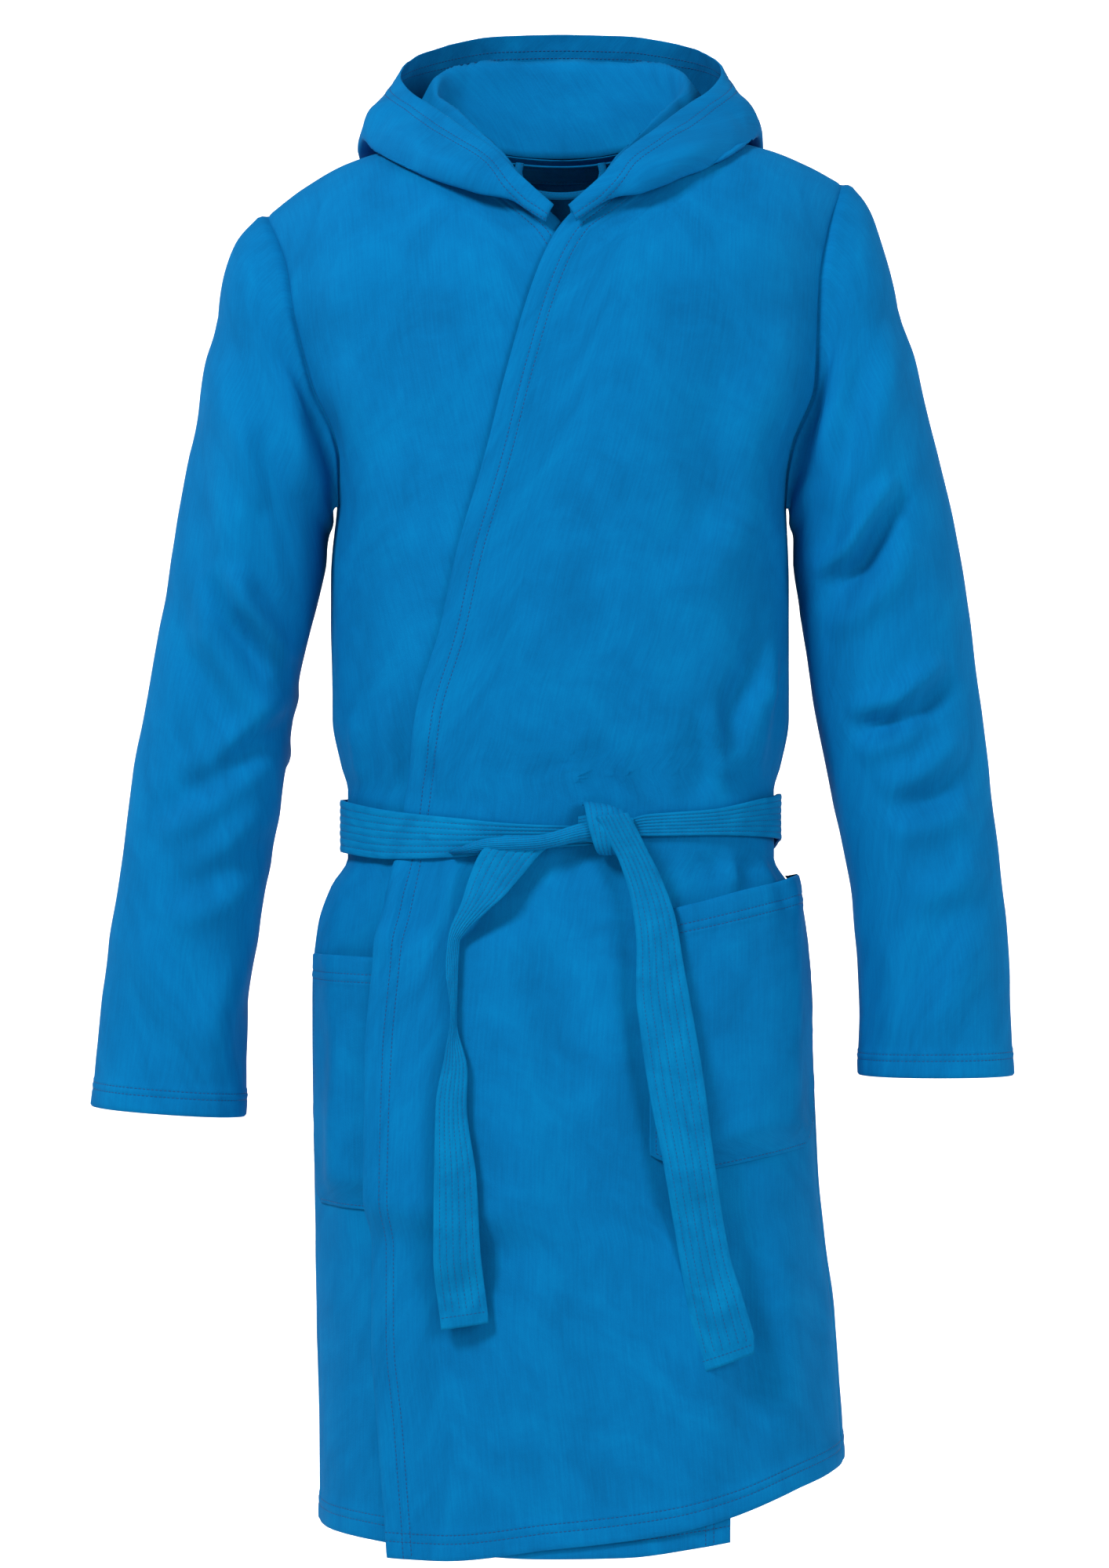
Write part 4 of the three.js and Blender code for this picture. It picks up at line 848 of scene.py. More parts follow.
@dataclass(frozen=True)
class PeachSkinMicrofibre:
    """Plain-woven polyester microfibre, dyed and sanded to a short nap.

    The nap gives a matt face with a faint light rim where it is seen edge-on, and it lies in
    different directions, which shows as soft clouds of lighter and darker blue.
    """

    name: str
    shade: str = "#006099"
    body: str = "#006AA6"
    light: str = "#0074B0"
    cloud: float = 0.055  # metres across one cloud of brushed nap
    streak: float = 0.0016  # warp streaks; drawn wider than the 0.3 mm yarn, which would not show
    yarn: float = 0.0011  # weave of the face, drawn coarser than the real 0.3 mm for the same reason
    roughness: float = 0.88
    sheen: float = 0.05
    ribbed: float = 0.0

    def build(self) -> bpy.types.Material:
        """Makes the material."""
        material, tree = blank_material(self.name)
        uv = add_node(tree, "ShaderNodeTexCoord").outputs["UV"]
        cloud = add_node(tree, "ShaderNodeTexNoise", {"Vector": uv},
                         {"Scale": 1 / self.cloud, "Detail": 5.0, "Roughness": 0.6, "Distortion": 0.4})
        stretched = add_node(tree, "ShaderNodeMapping", {"Vector": uv},
                             {"Scale": (1 / self.streak, 1 / (self.streak * 22), 1.0)})
        streak = add_node(tree, "ShaderNodeTexNoise", {"Vector": stretched.outputs[0]},
                          {"Scale": 1.0, "Detail": 3.0, "Roughness": 0.6})
        speck = add_node(tree, "ShaderNodeTexNoise", {"Vector": uv},
                         {"Scale": 1 / self.yarn, "Detail": 2.0, "Roughness": 0.7})
        tone = add_node(tree, "ShaderNodeMath", {0: streak.outputs["Fac"]}, {1: 0.26}, operation="MULTIPLY")
        tone = add_node(tree, "ShaderNodeMath", {0: cloud.outputs["Fac"], 2: tone.outputs[0]}, {1: 0.58},
                        operation="MULTIPLY_ADD")
        tone = add_node(tree, "ShaderNodeMath", {0: speck.outputs["Fac"], 2: tone.outputs[0]}, {1: 0.16},
                        operation="MULTIPLY_ADD")
        ramp = add_node(tree, "ShaderNodeValToRGB", {"Fac": tone.outputs[0]})
        ramp.color_ramp.elements[0].position = 0.36
        ramp.color_ramp.elements[0].color = linear(self.shade)
        ramp.color_ramp.elements[1].position = 0.64
        ramp.color_ramp.elements[1].color = linear(self.light)
        middle = ramp.color_ramp.elements.new(0.5)
        middle.color = linear(self.body)
        nap = add_node(tree, "ShaderNodeTexNoise", {"Vector": uv},
                       {"Scale": 1 / 0.009, "Detail": 4.0, "Roughness": 0.55})
        coarse = add_node(tree, "ShaderNodeBump", {"Height": nap.outputs["Fac"]},
                          {"Strength": 0.22, "Distance": 0.0012})
        fine = add_node(tree, "ShaderNodeBump", {"Height": speck.outputs["Fac"],
            "Normal": coarse.outputs[0]},
                        {"Strength": 0.35, "Distance": 0.00035})
        shader = add_node(tree, "ShaderNodeBsdfPrincipled",
                          {"Base Color": ramp.outputs["Color"], "Normal": fine.outputs[0]},
                          {"Roughness": self.roughness, "IOR": 1.5, "Specular IOR Level": 0.06,
                           "Sheen Weight": self.sheen, "Sheen Roughness": 0.45,
                           "Sheen Tint": linear("#20A0E8")})
        add_node(tree, "ShaderNodeOutputMaterial", {"Surface": shader.outputs[0]})
        return material


@dataclass(frozen=True)
class SewingThread:
    """Spun polyester sewing thread, dyed a little deeper than the cloth, with a dull shine."""

    name: str
    colour: str = "#005088"
    dark: str = "#003E72"
    twist: float = 0.0006

    def build(self) -> bpy.types.Material:
        """Makes the material."""
        material, tree = blank_material(self.name)
        place = add_node(tree, "ShaderNodeTexCoord").outputs["Object"]
        ply = add_node(tree, "ShaderNodeTexNoise", {"Vector": place},
            {"Scale": 1 / self.twist, "Detail": 2.0})
        ramp = add_node(tree, "ShaderNodeValToRGB", {"Fac": ply.outputs["Fac"]})
        ramp.color_ramp.elements[0].position = 0.35
        ramp.color_ramp.elements[0].color = linear(self.dark)
        ramp.color_ramp.elements[1].position = 0.65
        ramp.color_ramp.elements[1].color = linear(self.colour)
        bump = add_node(tree, "ShaderNodeBump", {"Height": ply.outputs["Fac"]},
            {"Strength": 0.4, "Distance": 0.0002})
        shader = add_node(tree, "ShaderNodeBsdfPrincipled",
                          {"Base Color": ramp.outputs["Color"], "Normal": bump.outputs[0]},
                          {"Roughness": 0.62, "Specular IOR Level": 0.3})
        add_node(tree, "ShaderNodeOutputMaterial", {"Surface": shader.outputs[0]})
        return material


@dataclass(frozen=True)
class StudioPaper:
    """Matt seamless background paper, near white, with a faint tooth."""

    name: str
    colour: str = "#F4F4F2"
    grain: float = 0.004

    def build(self) -> bpy.types.Material:
        """Makes the material."""
        material, tree = blank_material(self.name)
        place = add_node(tree, "ShaderNodeTexCoord").outputs["Object"]
        tooth = add_node(tree, "ShaderNodeTexNoise", {"Vector": place},
            {"Scale": 1 / self.grain, "Detail": 3.0})
        bump = add_node(tree, "ShaderNodeBump", {"Height": tooth.outputs["Fac"]},
            {"Strength": 0.1, "Distance": 0.001})
        shader = add_node(tree, "ShaderNodeBsdfPrincipled", {"Normal": bump.outputs[0]},
                          {"Base Color": linear(self.colour), "Roughness": 0.95, "Specular IOR Level": 0.1})
        add_node(tree, "ShaderNodeOutputMaterial", {"Surface": shader.outputs[0]})
        return material


@dataclass
class Finishes:
    """The materials that the pieces share."""

    cloth: bpy.types.Material
    hem: bpy.types.Material
    belt: bpy.types.Material
    thread: bpy.types.Material

    @classmethod
    def make(cls) -> "Finishes":
        """Builds one material for each finish."""
        return cls(
            PeachSkinMicrofibre("peach_skin_microfibre").build(),
            PeachSkinMicrofibre("peach_skin_microfibre_doubled", "#005A90", "#00649C", "#006EA6").build(),
            PeachSkinMicrofibre("peach_skin_microfibre_quilted", "#00649A", "#0070A8", "#007CB4",
            cloud=0.03).build(),
            SewingThread("polyester_thread").build(),
        )


def report(obj: bpy.types.Object, made_of: str) -> None:
    """Logs one finished piece."""
    log.info("%s: %d faces, %s", obj.name, len(obj.data.polygons), made_of)


# Material slots of a piece and of its stitches.
CLOTH_SLOTS = ("microfibre", "microfibre_hem")
HEM_SLOTS = ("microfibre_hem", "microfibre_hem")
BELT_SLOTS = ("belt_microfibre", "belt_microfibre")
QUILTED = "seven-rib quilted microfibre"


def dress(piece: bpy.types.Object, stitches: bpy.types.Object, slots: tuple[str, str],
          nodes: Sequence[str], made_of: str, body: str = "garment",
          bend: tuple | None = None, **cut) -> None:
    """Attaches a piece and its stitches to the body that they move with, or bakes them in place where a bend
    is given, hides the solids that the piece stands for, and logs the piece.

    Args:
        piece: the cloth.
        stitches: its stitches.
        slots: the material slots of both; not used.
        nodes: the solids that the piece stands for.
        made_of: what it is made of, for the log.
        body: the body that it moves with.
        bend: given where the piece is also sewn to the garment; then both parts are baked in place instead of
            attached, and its two points are not used.
        **cut: the sheet's flat size, how it is held, what it rests on and its area; not used.
    """
    for part, slot in zip((piece, stitches), slots):
        if bend:
            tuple(bend[0])
            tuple(bend[1])
            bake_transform(part)
        else:
            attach(part, body)
    if nodes:
        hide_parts(*nodes)
    report(piece, made_of)


# ------------------------------------------------------------------ body panels


@dataclass
class FrontPanel:
    """One front with its stitched edge band and bottom hem, in one cut."""

    side: Side
    finishes: Finishes
    columns: int = 46
    row_step: float = 5.0
    edge_hem: TurnedHem = TurnedHem(12.0, 17.7, 19.0)
    bottom_hem: TurnedHem = TurnedHem(12.0, 18.0, 20.0)

    def levels(self) -> np.ndarray:
        """Rows of the mesh, measured down from the top edge."""
        bottom = FORM.waist_drop + FORM.skirt_length
        hem = [bottom - d for d in self.bottom_hem.stations()]
        top = [0, 0.5, 1.5, 3.2, 6, 10, 15]
        middle = np.arange(20, min(hem) - 2, self.row_step)
        return -np.array(sorted([*top, *middle, *hem]))

    def grid(self) -> tuple[Grid, np.ndarray, np.ndarray]:
        """Both faces of the front, with each row's and column's distance from the hem and the free edge."""
        band = np.array(self.edge_hem.stations())
        edge = self.edge_hem.width
        inner = np.concatenate([np.linspace(0, 1, self.columns)[1:-1] ** 0.97, [0.972, 0.985, 0.993, 1]])
        inner = np.array(sorted(set(np.round(inner, 4))))
        reach = np.concatenate([np.minimum(band, edge + 2.2), np.full(len(inner), edge + 2.2)])
        share = np.concatenate([np.zeros(len(band)), inner])
        levels = self.levels()[:, None] * np.ones((1, len(reach)))
        rise = FORM.over_rise if self.side is Side.LEFT else FORM.under_rise

        def angle_of(z):
            """Angle of each column at the heights z."""
            at = FORM.edge_x(self.side, z) + self.side.value * reach * FORM.edge_secant(self.side, z)
            banded = FORM.angle_at(at, z)
            return banded + (self.side.value * FORM.front_seam(self.side, z) - banded) * share

        angle, z = FORM.settle(levels, angle_of, FORM.front_top, rise)
        p, n = FORM.skin(angle, z), FORM.normal(angle, z)
        from_hem = FORM.waist_drop + FORM.skirt_length + self.levels()
        to_seam = np.abs(np.linalg.norm(p - p[:, -1:], axis=-1))
        to_top = np.abs(self.levels())[:, None] + 0 * p[..., 0]
        shoulder = np.abs(p[..., 0]) > FORM.neck_half - 4
        height = relief(p, False) * smooth(0, 26, to_seam)
        doubled = np.maximum(self.edge_hem.rise(reach)[None, :] * np.ones_like(height),
                             self.bottom_hem.rise(from_hem)[:, None] * np.ones_like(height))
        both = (reach[None, :] < edge + 2) & (from_hem[:, None] < 20.5)
        doubled = np.where(both, np.minimum(self.edge_hem.rise(reach)[None, :],
            self.bottom_hem.rise(from_hem)[:, None])
                           + 0.35, doubled)
        stitched = np.maximum(smooth(26, 4, reach)[None, :] * np.ones_like(height),
            smooth(34, 6, from_hem)[:, None])
        height = height + pucker(p, 0.3) * stitched + seam_dip(to_seam) * 0.9
        height = height + np.where(shoulder, seam_dip(to_top), 0)
        offset = cover_offset(p[..., 0], z) + CLOTH if self.side is Side.LEFT else np.zeros_like(height)
        outer = p + n * (offset + height + np.maximum(doubled, -0.5))[..., None]
        inner_face = p + n * (offset + height - SHEET)[..., None]
        return Grid(outer, inner_face), from_hem, reach

    def build(self) -> bpy.types.Object:
        """Makes and dresses the front."""
        grid, from_hem, reach = self.grid()
        label = self.side.label
        panel = sheet_object(f"Front_{label}", grid, self.finishes.cloth)
        threads = Threads()
        normals = grid.normals()
        for line in (self.edge_hem.near, self.edge_hem.far):
            col = int(np.argmin(np.abs(reach - line)))
            threads.row(grid.outer[3:, col], normals[3:, col])
        for line in (self.bottom_hem.near, self.bottom_hem.far):
            row = int(np.argmin(np.abs(from_hem - line)))
            threads.row(grid.outer[row, :-1], normals[row, :-1])
        stitches = threads.build(f"Front_{label}_stitches", self.finishes.thread)
        size = {Side.LEFT: (0.40, 1.06), Side.RIGHT: (0.38, 1.06)}[self.side]
        nodes = [f"front_panel_{label}", f"front_band_{label}", f"hem_front_{label}"]
        dress(panel, stitches, CLOTH_SLOTS, nodes, "microfibre with doubled edge band and hem",
              flat=size, held="hung", rests_on=["Back_panel"], area=size[0] * size[1] * 0.8)
        return panel


@dataclass
class BackPanel:
    """The back in one cut, from the shoulder seams to the bottom hem."""

    finishes: Finishes
    columns: int = 96
    row_step: float = 5.0
    hem: TurnedHem = TurnedHem(12.0, 18.0, 20.0)

    def build(self) -> bpy.types.Object:
        """Makes and dresses the back."""
        bottom = FORM.waist_drop + FORM.skirt_length
        hem_rows = [bottom - d for d in self.hem.stations()]
        top = [0, 0.5, 1.5, 3.2, 6, 10, 15]
        level = -np.array(sorted([*top, *np.arange(20, min(hem_rows) - 2, self.row_step), *hem_rows]))
        share = np.linspace(0, 1, self.columns)
        share = np.array(sorted({0.003, 0.007, 0.013, 0.987, 0.993, 0.997, *np.round(share, 5)}))
        levels = level[:, None] * np.ones((1, len(share)))

        def angle_of(z):
            """Angle of each column at the heights z, once round the back."""
            right = -FORM.back_seam(Side.RIGHT, z)
            left = FORM.back_seam(Side.LEFT, z) - 2 * np.pi
            return np.where(share < 0.5, lerp(right, -np.pi, share * 2), lerp(-np.pi, left, share * 2 - 1))

        angle, z = FORM.settle(levels, angle_of, FORM.back_top, FORM.back_rise)
        p, n = FORM.skin(angle, z), FORM.normal(angle, z)
        to_seam = np.minimum(np.linalg.norm(p - p[:, -1:], axis=-1), np.linalg.norm(p - p[:, :1], axis=-1))
        from_hem = bottom + level
        shoulder = np.abs(p[..., 0]) > FORM.neck_half - 4
        height = relief(p, True) * smooth(0, 26, to_seam) + seam_dip(to_seam) * 0.9
        height += np.where(shoulder, seam_dip(-level[:, None] + 0 * z), 0)
        height += pucker(p, 0.3) * smooth(34, 6, from_hem)[:, None]
        doubled = self.hem.rise(from_hem)[:, None]
        grid = Grid(p + n * (height + np.maximum(doubled, -0.5))[..., None],
            p + n * (height - SHEET)[..., None])
        panel = sheet_object("Back_panel", grid, self.finishes.cloth)
        threads = Threads()
        normals = grid.normals()
        for line in (self.hem.near, self.hem.far):
            row = int(np.argmin(np.abs(from_hem - line)))
            threads.row(grid.outer[row, 1:-1], normals[row, 1:-1])
        stitches = threads.build("Back_panel_stitches", self.finishes.thread)
        dress(panel, stitches, CLOTH_SLOTS, ["back_panel", "hem_back"], "microfibre with doubled hem",
              flat=(0.64, 1.06), held="hung", rests_on=["neck_tape"], area=0.58)
        return panel


# ------------------------------------------------------------------ sleeves

# Sections of each sleeve: outward, y, z, half across, half deep, tilt in degrees.
SLEEVE_SECTIONS = {
    Side.LEFT: (
        (212, 2, -212, 75, 62, 58), (230, 0, -300, 61, 60, 22), (243, -3, -385, 60, 57, 12),
        (256, -7, -468, 57, 54, 9), (267, -11, -545, 55, 52, 6), (270, -14, -610, 55, 51, 2),
        (271, -18, -666, 56, 51, 0)),
    Side.RIGHT: (
        (213, 2, -212, 75, 62, 58), (229, 0, -300, 58, 60, 24), (245, -3, -385, 54, 57, 14),
        (257, -7, -462, 56, 54, 12), (267, -11, -530, 54, 52, 9), (278, -14, -605, 53, 51, 6),
        (283, -18, -692, 56, 51, 4)),
}

# Creases of the sleeves: the drag from the shoulder to the underarm, and the soft breaks at the elbow.
SLEEVE_FOLDS = {
    Side.RIGHT: (
        Fold(((-228, -190), (-222, -225), (-214, -262)), 10, 3.0, 0.6),
        Fold(((-196, -150), (-190, -200), (-176, -250)), 12, 3.0, -0.5),
        Fold(((-246, -150), (-236, -220), (-232, -290), (-236, -350)), 15, 3.4, 0.5),
        Fold(((-236, -300), (-226, -326), (-212, -346), (-196, -372)), 9, 5.0, 0.8),
        Fold(((-262, -300), (-250, -350), (-226, -392), (-200, -412)), 12, 3.4, 0.6),
        Fold(((-200, -388), (-222, -412), (-250, -440), (-274, -452)), 11, 3.8, -0.7),
        Fold(((-204, -436), (-228, -452), (-262, -482), (-290, -496)), 11, 3.2, 0.6),
        Fold(((-212, -470), (-240, -500), (-272, -520)), 12, 2.6, -0.6),
        Fold(((-220, -520), (-250, -545), (-286, -556)), 13, 2.4, 0.5),
        Fold(((-300, -560), (-280, -610), (-250, -650)), 16, 2.2, 0.5),
        Fold(((-232, -580), (-246, -620), (-250, -670)), 13, 2.2, -0.5),
    ),
    Side.LEFT: (
        Fold(((236, -120), (230, -170), (216, -226), (190, -262)), 14, 3.2, 0.5),
        Fold(((206, -140), (196, -190), (184, -236)), 11, 2.6, -0.5),
        Fold(((240, -236), (224, -256), (206, -288), (182, -306)), 8, 5.4, -0.8),
        Fold(((252, -280), (236, -310), (212, -336), (190, -346)), 11, 3.0, 0.6),
        Fold(((276, -366), (262, -378), (240, -396), (204, -406)), 9, 4.6, -0.8),
        Fold(((262, -404), (240, -424), (212, -436)), 10, 3.2, 0.6),
        Fold(((290, -420), (262, -446), (226, -462)), 11, 3.0, -0.6),
        Fold(((296, -470), (268, -486), (232, -492)), 11, 2.6, 0.6),
        Fold(((304, -512), (280, -530), (244, -538)), 12, 2.2, -0.5),
        Fold(((300, -560), (282, -600), (256, -640)), 15, 2.2, 0.5),
        Fold(((236, -560), (240, -600), (236, -650)), 12, 1.8, 0.5),
    ),
}


@dataclass
class Sleeve:
    """One set-in sleeve from the armhole seam to its stitched cuff, in one tube."""

    side: Side
    finishes: Finishes
    around: int = 144
    row_step: float = 4.5
    pivot_x: float = 205
    pivot_drop: float = 45
    cap_reach: float = 90
    cap_plane: tuple[float, float, float] = (0.85, 0, -0.527)
    fullness: float = 15.0
    hem: TurnedHem = TurnedHem(12.4, 17.0, 19.0)

    def armhole(self) -> tuple[np.ndarray, np.ndarray]:
        """Closed ring of points along the armhole seam and the share of the way round of each."""
        side = self.side
        down = -np.concatenate([np.linspace(0, 16, 9)[:-1], np.linspace(16, FORM.armhole_drop, 90)])

        def line(seam: Callable, top: Curve) -> np.ndarray:
            """One edge of the armhole from the shoulder down."""
            angle, z = FORM.settle(down, lambda h: side.value * seam(side, h), top, lambda x: 0 * x)
            return FORM.skin(angle, z)


        ring = np.concatenate([line(FORM.front_seam, FORM.front_top),
            line(FORM.back_seam, FORM.back_top)[-2:0:-1]])
        closed = np.concatenate([ring, ring[:1]])
        reach = np.concatenate([[0], np.cumsum(np.linalg.norm(np.diff(closed, axis=0), axis=1))])
        share = np.arange(self.around) / self.around
        points = np.stack([np.interp(share * reach[-1], reach, closed[:, k]) for k in range(3)], -1)
        # Rows of the solid model are shared out partly by number, partly by length.
        rows = np.array([0, 2, 7, 17, 32, 54, 82, 112, 148, 186, 222, 244, 256, 244, 222, 186, 148, 112, 82,
            54,
                         32, 17, 7, 2])
        at = np.interp(rows[:13], -down, reach[:len(down)])
        back = reach[-1] - np.interp(rows[13:], -down, reach[-1] - np.concatenate(
            [[reach[-1]], reach[len(down) - 1:][::-1][1:len(down)]]))
        lengths = np.concatenate([at, back]) / reach[-1]
        even = np.arange(len(rows)) / len(rows)
        mixed = lerp(lengths, even, 0.35)
        order = np.argsort(lengths)
        turn = np.interp(share, np.append(lengths[order], 1), np.append(mixed[order], 1))
        return points, turn

    def ring(self, section: np.ndarray, turn: np.ndarray) -> tuple[np.ndarray, np.ndarray]:
        """Points and outward directions of one section of the sleeve."""
        cx, cy, cz, across, deep, tilt = section
        a = math.radians(tilt)
        lead = np.array([self.side.value * math.cos(a), 0, math.sin(a)])
        c, s = np.cos(2 * np.pi * turn), np.sin(2 * np.pi * turn)
        c2, s2 = np.sign(c) * np.abs(c) ** 0.9, np.sign(s) * np.abs(s) ** 0.9
        centre = np.array([self.side.value * cx, cy, cz])
        p = centre + np.outer(across * c2, lead) + np.outer(-deep * s2, [0, 1, 0])
        n = unit(np.outer(c / across, lead) + np.outer(-s / deep, [0, 1, 0]))
        return p, n

    def build(self) -> bpy.types.Object:
        """Makes and dresses the sleeve."""
        side = self.side.value
        seam, turn = self.armhole()
        plane = unit(np.array(self.cap_plane) * [side, 1, 1])
        pivot = np.array([side * self.pivot_x, 0, -self.pivot_drop])
        sections = np.array(SLEEVE_SECTIONS[self.side], float)
        first, _ = self.ring(sections[0], turn)
        first = first + np.outer(self.cap_reach - (first - pivot) @ plane, plane)
        lead = np.array([side * 0.9, 0, -0.3])
        reach = np.linalg.norm(first - seam, axis=1, keepdims=True) / 3
        b, c = seam + lead * reach, first - plane * reach
        inside = unit(np.array([0, FORM.centre_y, 0]) + seam * [0, 0, 1] - seam)
        tucked = seam + inside * 3.4 - lead * 3.0
        rows = [tucked - lead * 4.0 + inside * 1.5, tucked]
        rows += [((1 - t) ** 3 * seam + 3 * (1 - t) ** 2 * t * b + 3 * (1 - t) * t * t * c + t**3 * first)
                for t in (0, 0.01, 0.03, 0.06, *np.linspace(0.1, 1, 26))]
        place = np.arange(len(sections))
        length = np.linalg.norm(np.diff(sections[:, :3], axis=0), axis=1)
        total = np.concatenate([[0], np.cumsum(length)])
        hem = total[-1] - np.array(sorted(self.hem.stations(), reverse=True))
        body = np.arange(7.0, hem[0] - 2, self.row_step)
        spots = np.concatenate([body, hem])
        share = np.interp(spots, total, place)
        blended = np.stack([curve(list(zip(place, sections[:, k])))(share) for k in range(6)], -1)
        for s, section in zip(share, blended):
            ring, _ = self.ring(section, turn)
            pull = 0.25 * (1 - smooth(0.25, 0.95, s))
            mix = smooth(0, 1, max(0.0, 1 - s / 0.5))
            rows.append(lerp(ring, first + plane * 2.0 * s, np.maximum(mix, pull)))
        base = np.stack(rows)
        base = self.relax(base, 33, 9)
        fuller = self.fullness * np.exp(-(((base[..., 2] + 112) / 52) ** 2))
        fuller *= np.clip(np.cos(2 * np.pi * turn), 0, 1)[None, :] ** 0.8
        fuller *= smooth(0, 9, np.arange(len(base)) - 2)[:, None]
        base = base + fuller[..., None] * np.array([side, 0, 0.15])
        down = np.gradient(base, axis=0)
        round_ = np.roll(base, -1, 1) - np.roll(base, 1, 1)
        n = unit(np.cross(round_, down))
        centre = base.mean(1, keepdims=True)
        outward = np.einsum("ijk,ijk->", n, base - centre)
        n = n if outward > 0 else -n
        height, from_hem = self.relief(base, n, spots, total[-1])
        outer = base + n * (height + np.maximum(self.hem.rise(from_hem)[:, None], -0.5))[..., None]
        grid = Grid(outer, base + n * (height - SHEET)[..., None], wrap=True)
        label = self.side.label
        tube = sheet_object(f"Sleeve_{label}", grid, self.finishes.cloth)
        threads = Threads()
        normals = grid.normals()
        for line in (self.hem.near, self.hem.far):
            row = int(np.argmin(np.abs(from_hem - line)))
            loop = np.append(np.arange(self.around), 0)
            threads.row(grid.outer[row, loop], normals[row, loop])
        stitches = threads.build(f"Sleeve_{label}_stitches", self.finishes.thread)
        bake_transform(tube)
        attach(stitches, f"sleeve_{label}")
        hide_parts(f"sleeve_cap_{label}", f"sleeve_{label}", f"cuff_hem_{label}")
        report(tube, "microfibre tube with a doubled cuff hem")
        return tube

    @staticmethod
    def relax(base: np.ndarray, join: int, reach: int) -> np.ndarray:
        """Evens the rows out where the cap meets the tube."""
        out = base.copy()
        for _ in range(14):
            for i in range(join - reach, join + reach):
                out[i] = (out[i - 1] + 2 * out[i] + out[i + 1]) / 4
        return out

    def relief(self, base: np.ndarray, n: np.ndarray, spots: np.ndarray, length: float) -> tuple:
        """Heights of the sleeve's folds, and each row's distance from the cuff's edge."""
        x, z = base[..., 0], base[..., 2]
        facing = smooth(-0.15, 0.45, -n[..., 1])
        rear = smooth(-0.15, 0.45, n[..., 1])
        folds = folds_height(x, z, SLEEVE_FOLDS[self.side])
        behind = folds_height(x + 6 * self.side.value, z + 34, SLEEVE_FOLDS[self.side])
        height = folds * facing + 0.8 * behind * rear + 1.2 * softness(base + 300)
        cap_rows = len(base) - len(spots)
        from_hem = np.concatenate([np.full(cap_rows, 999.0), length - spots])
        from_seam = np.concatenate([[0], np.cumsum(np.linalg.norm(np.diff(base[:, 0], axis=0), axis=-1))])
        from_seam = np.maximum(from_seam - from_seam[2], 0)
        head = smooth(2, 40, from_seam)[:, None]
        height = height * head + seam_dip(from_seam)[:, None] * 0.9
        height += 1.1 * np.exp(-(((from_seam - 6) / 4) ** 2))[:, None]
        height += pucker(base, 0.35) * smooth(30, 6, from_hem)[:, None]
        height += 0.7 * pucker(base, 0.5) * smooth(16, 3, from_seam)[:, None] * smooth(0, 3, from_seam)[:,
            None]
        return height * lerp(0.75, 1, smooth(4, 40, from_hem))[:, None], from_hem


# ------------------------------------------------------------------ pockets


@dataclass
class Pocket:
    """A patch pocket, sewn on three sides, whose turned mouth stands open."""

    side: Side
    finishes: Finishes
    columns: int = 56
    row_step: float = 4.0
    hem: TurnedHem = TurnedHem(12.5, 18.0, 20.0)

    def build(self) -> bpy.types.Object:
        """Makes and dresses the pocket."""
        form = POCKET_FORMS[self.side]
        side = self.side.value
        tall = form.mouth - form.bottom
        fine = [0.0, 0.5, 1.3, 2.6, 4.5]
        down = np.array(sorted([*self.hem.stations(), *np.arange(24, tall - 6, self.row_step),
            *(tall - np.array(fine))]))
        width = form.outer - form.inner
        edge = np.array(fine) / width
        share = np.array(sorted([*edge, *np.linspace(0.055, 0.945, self.columns), *(1 - edge)]))
        cut = np.maximum(0, form.corner - (tall - down)) / width
        across = lerp(cut[:, None], 1 - cut[:, None], share[None, :])
        middle = (form.mouth + form.bottom) / 2
        a, b = (FORM.angle_at(side * e, middle) for e in (form.inner, form.outer))
        x = FORM.skin(lerp(a, b, across), middle)[..., 0]
        part = (side * x - form.inner) / width
        z = lerp(form.mouth + form.mouth_rise * part, form.bottom + form.bottom_rise * part,
            (down / tall)[:, None])
        angle = FORM.angle_at(x, z)
        p, n = FORM.skin(angle, z), FORM.normal(angle, z)
        carrier = cover_offset(x, z) + CLOTH if self.side is Side.LEFT else np.zeros_like(x)
        rim = np.minimum(np.minimum(share, 1 - share)[None, :] * width, (tall - down)[:, None])
        height = relief(p, False) + pucker(p, 0.35) * np.maximum(smooth(26, 5, down)[:, None],
            smooth(10, 3, rim))
        height += 1.3 * noise(p + 90, 34, 9) * smooth(4, 26, rim)
        # The mouth sags between its two ends.
        sag = 4 * np.clip(share * (1 - share), 0, 1)[None, :] * smooth(46, 0, down)[:, None]
        height += 1.6 * sag
        sewn = np.exp(-(((rim - 2.2) / 1.0) ** 2)) * 0.5 + 0.6 * np.exp(-((rim / 0.8) ** 2))
        room = form.room(self.side, x, z)
        outer = p + n * (carrier + room + height + CLOTH - 1.1 + np.maximum(self.hem.rise(down)[:, None],
            -0.4) - sewn)[..., None]
        inner = p + n * (carrier + room + height + CLOTH - 1.1 - SHEET)[..., None]
        grid = Grid(outer, inner)
        label = self.side.label
        pocket = sheet_object(f"Pocket_{label}", grid, self.finishes.cloth)
        threads = Threads()
        normals = grid.normals()
        for line in (self.hem.near, self.hem.far):
            row = int(np.argmin(np.abs(down - line)))
            threads.row(grid.outer[row, 2:-2], normals[row, 2:-2])
        left, right = 3, len(share) - 4
        low = len(down) - 4
        threads.row(grid.outer[:low, left], normals[:low, left])
        threads.row(grid.outer[:low, right], normals[:low, right])
        threads.row(grid.outer[low, left:right], normals[low, left:right])
        stitches = threads.build(f"Pocket_{label}_stitches", self.finishes.thread)
        size = {Side.LEFT: (0.15, 0.20), Side.RIGHT: (0.19, 0.20)}[self.side]
        dress(pocket, stitches, CLOTH_SLOTS, [f"pocket_{label}"], "microfibre patch with a doubled mouth",
              flat=size, held="hung", rests_on=[f"Front_{label}"])
        return pocket


# ------------------------------------------------------------------ hood

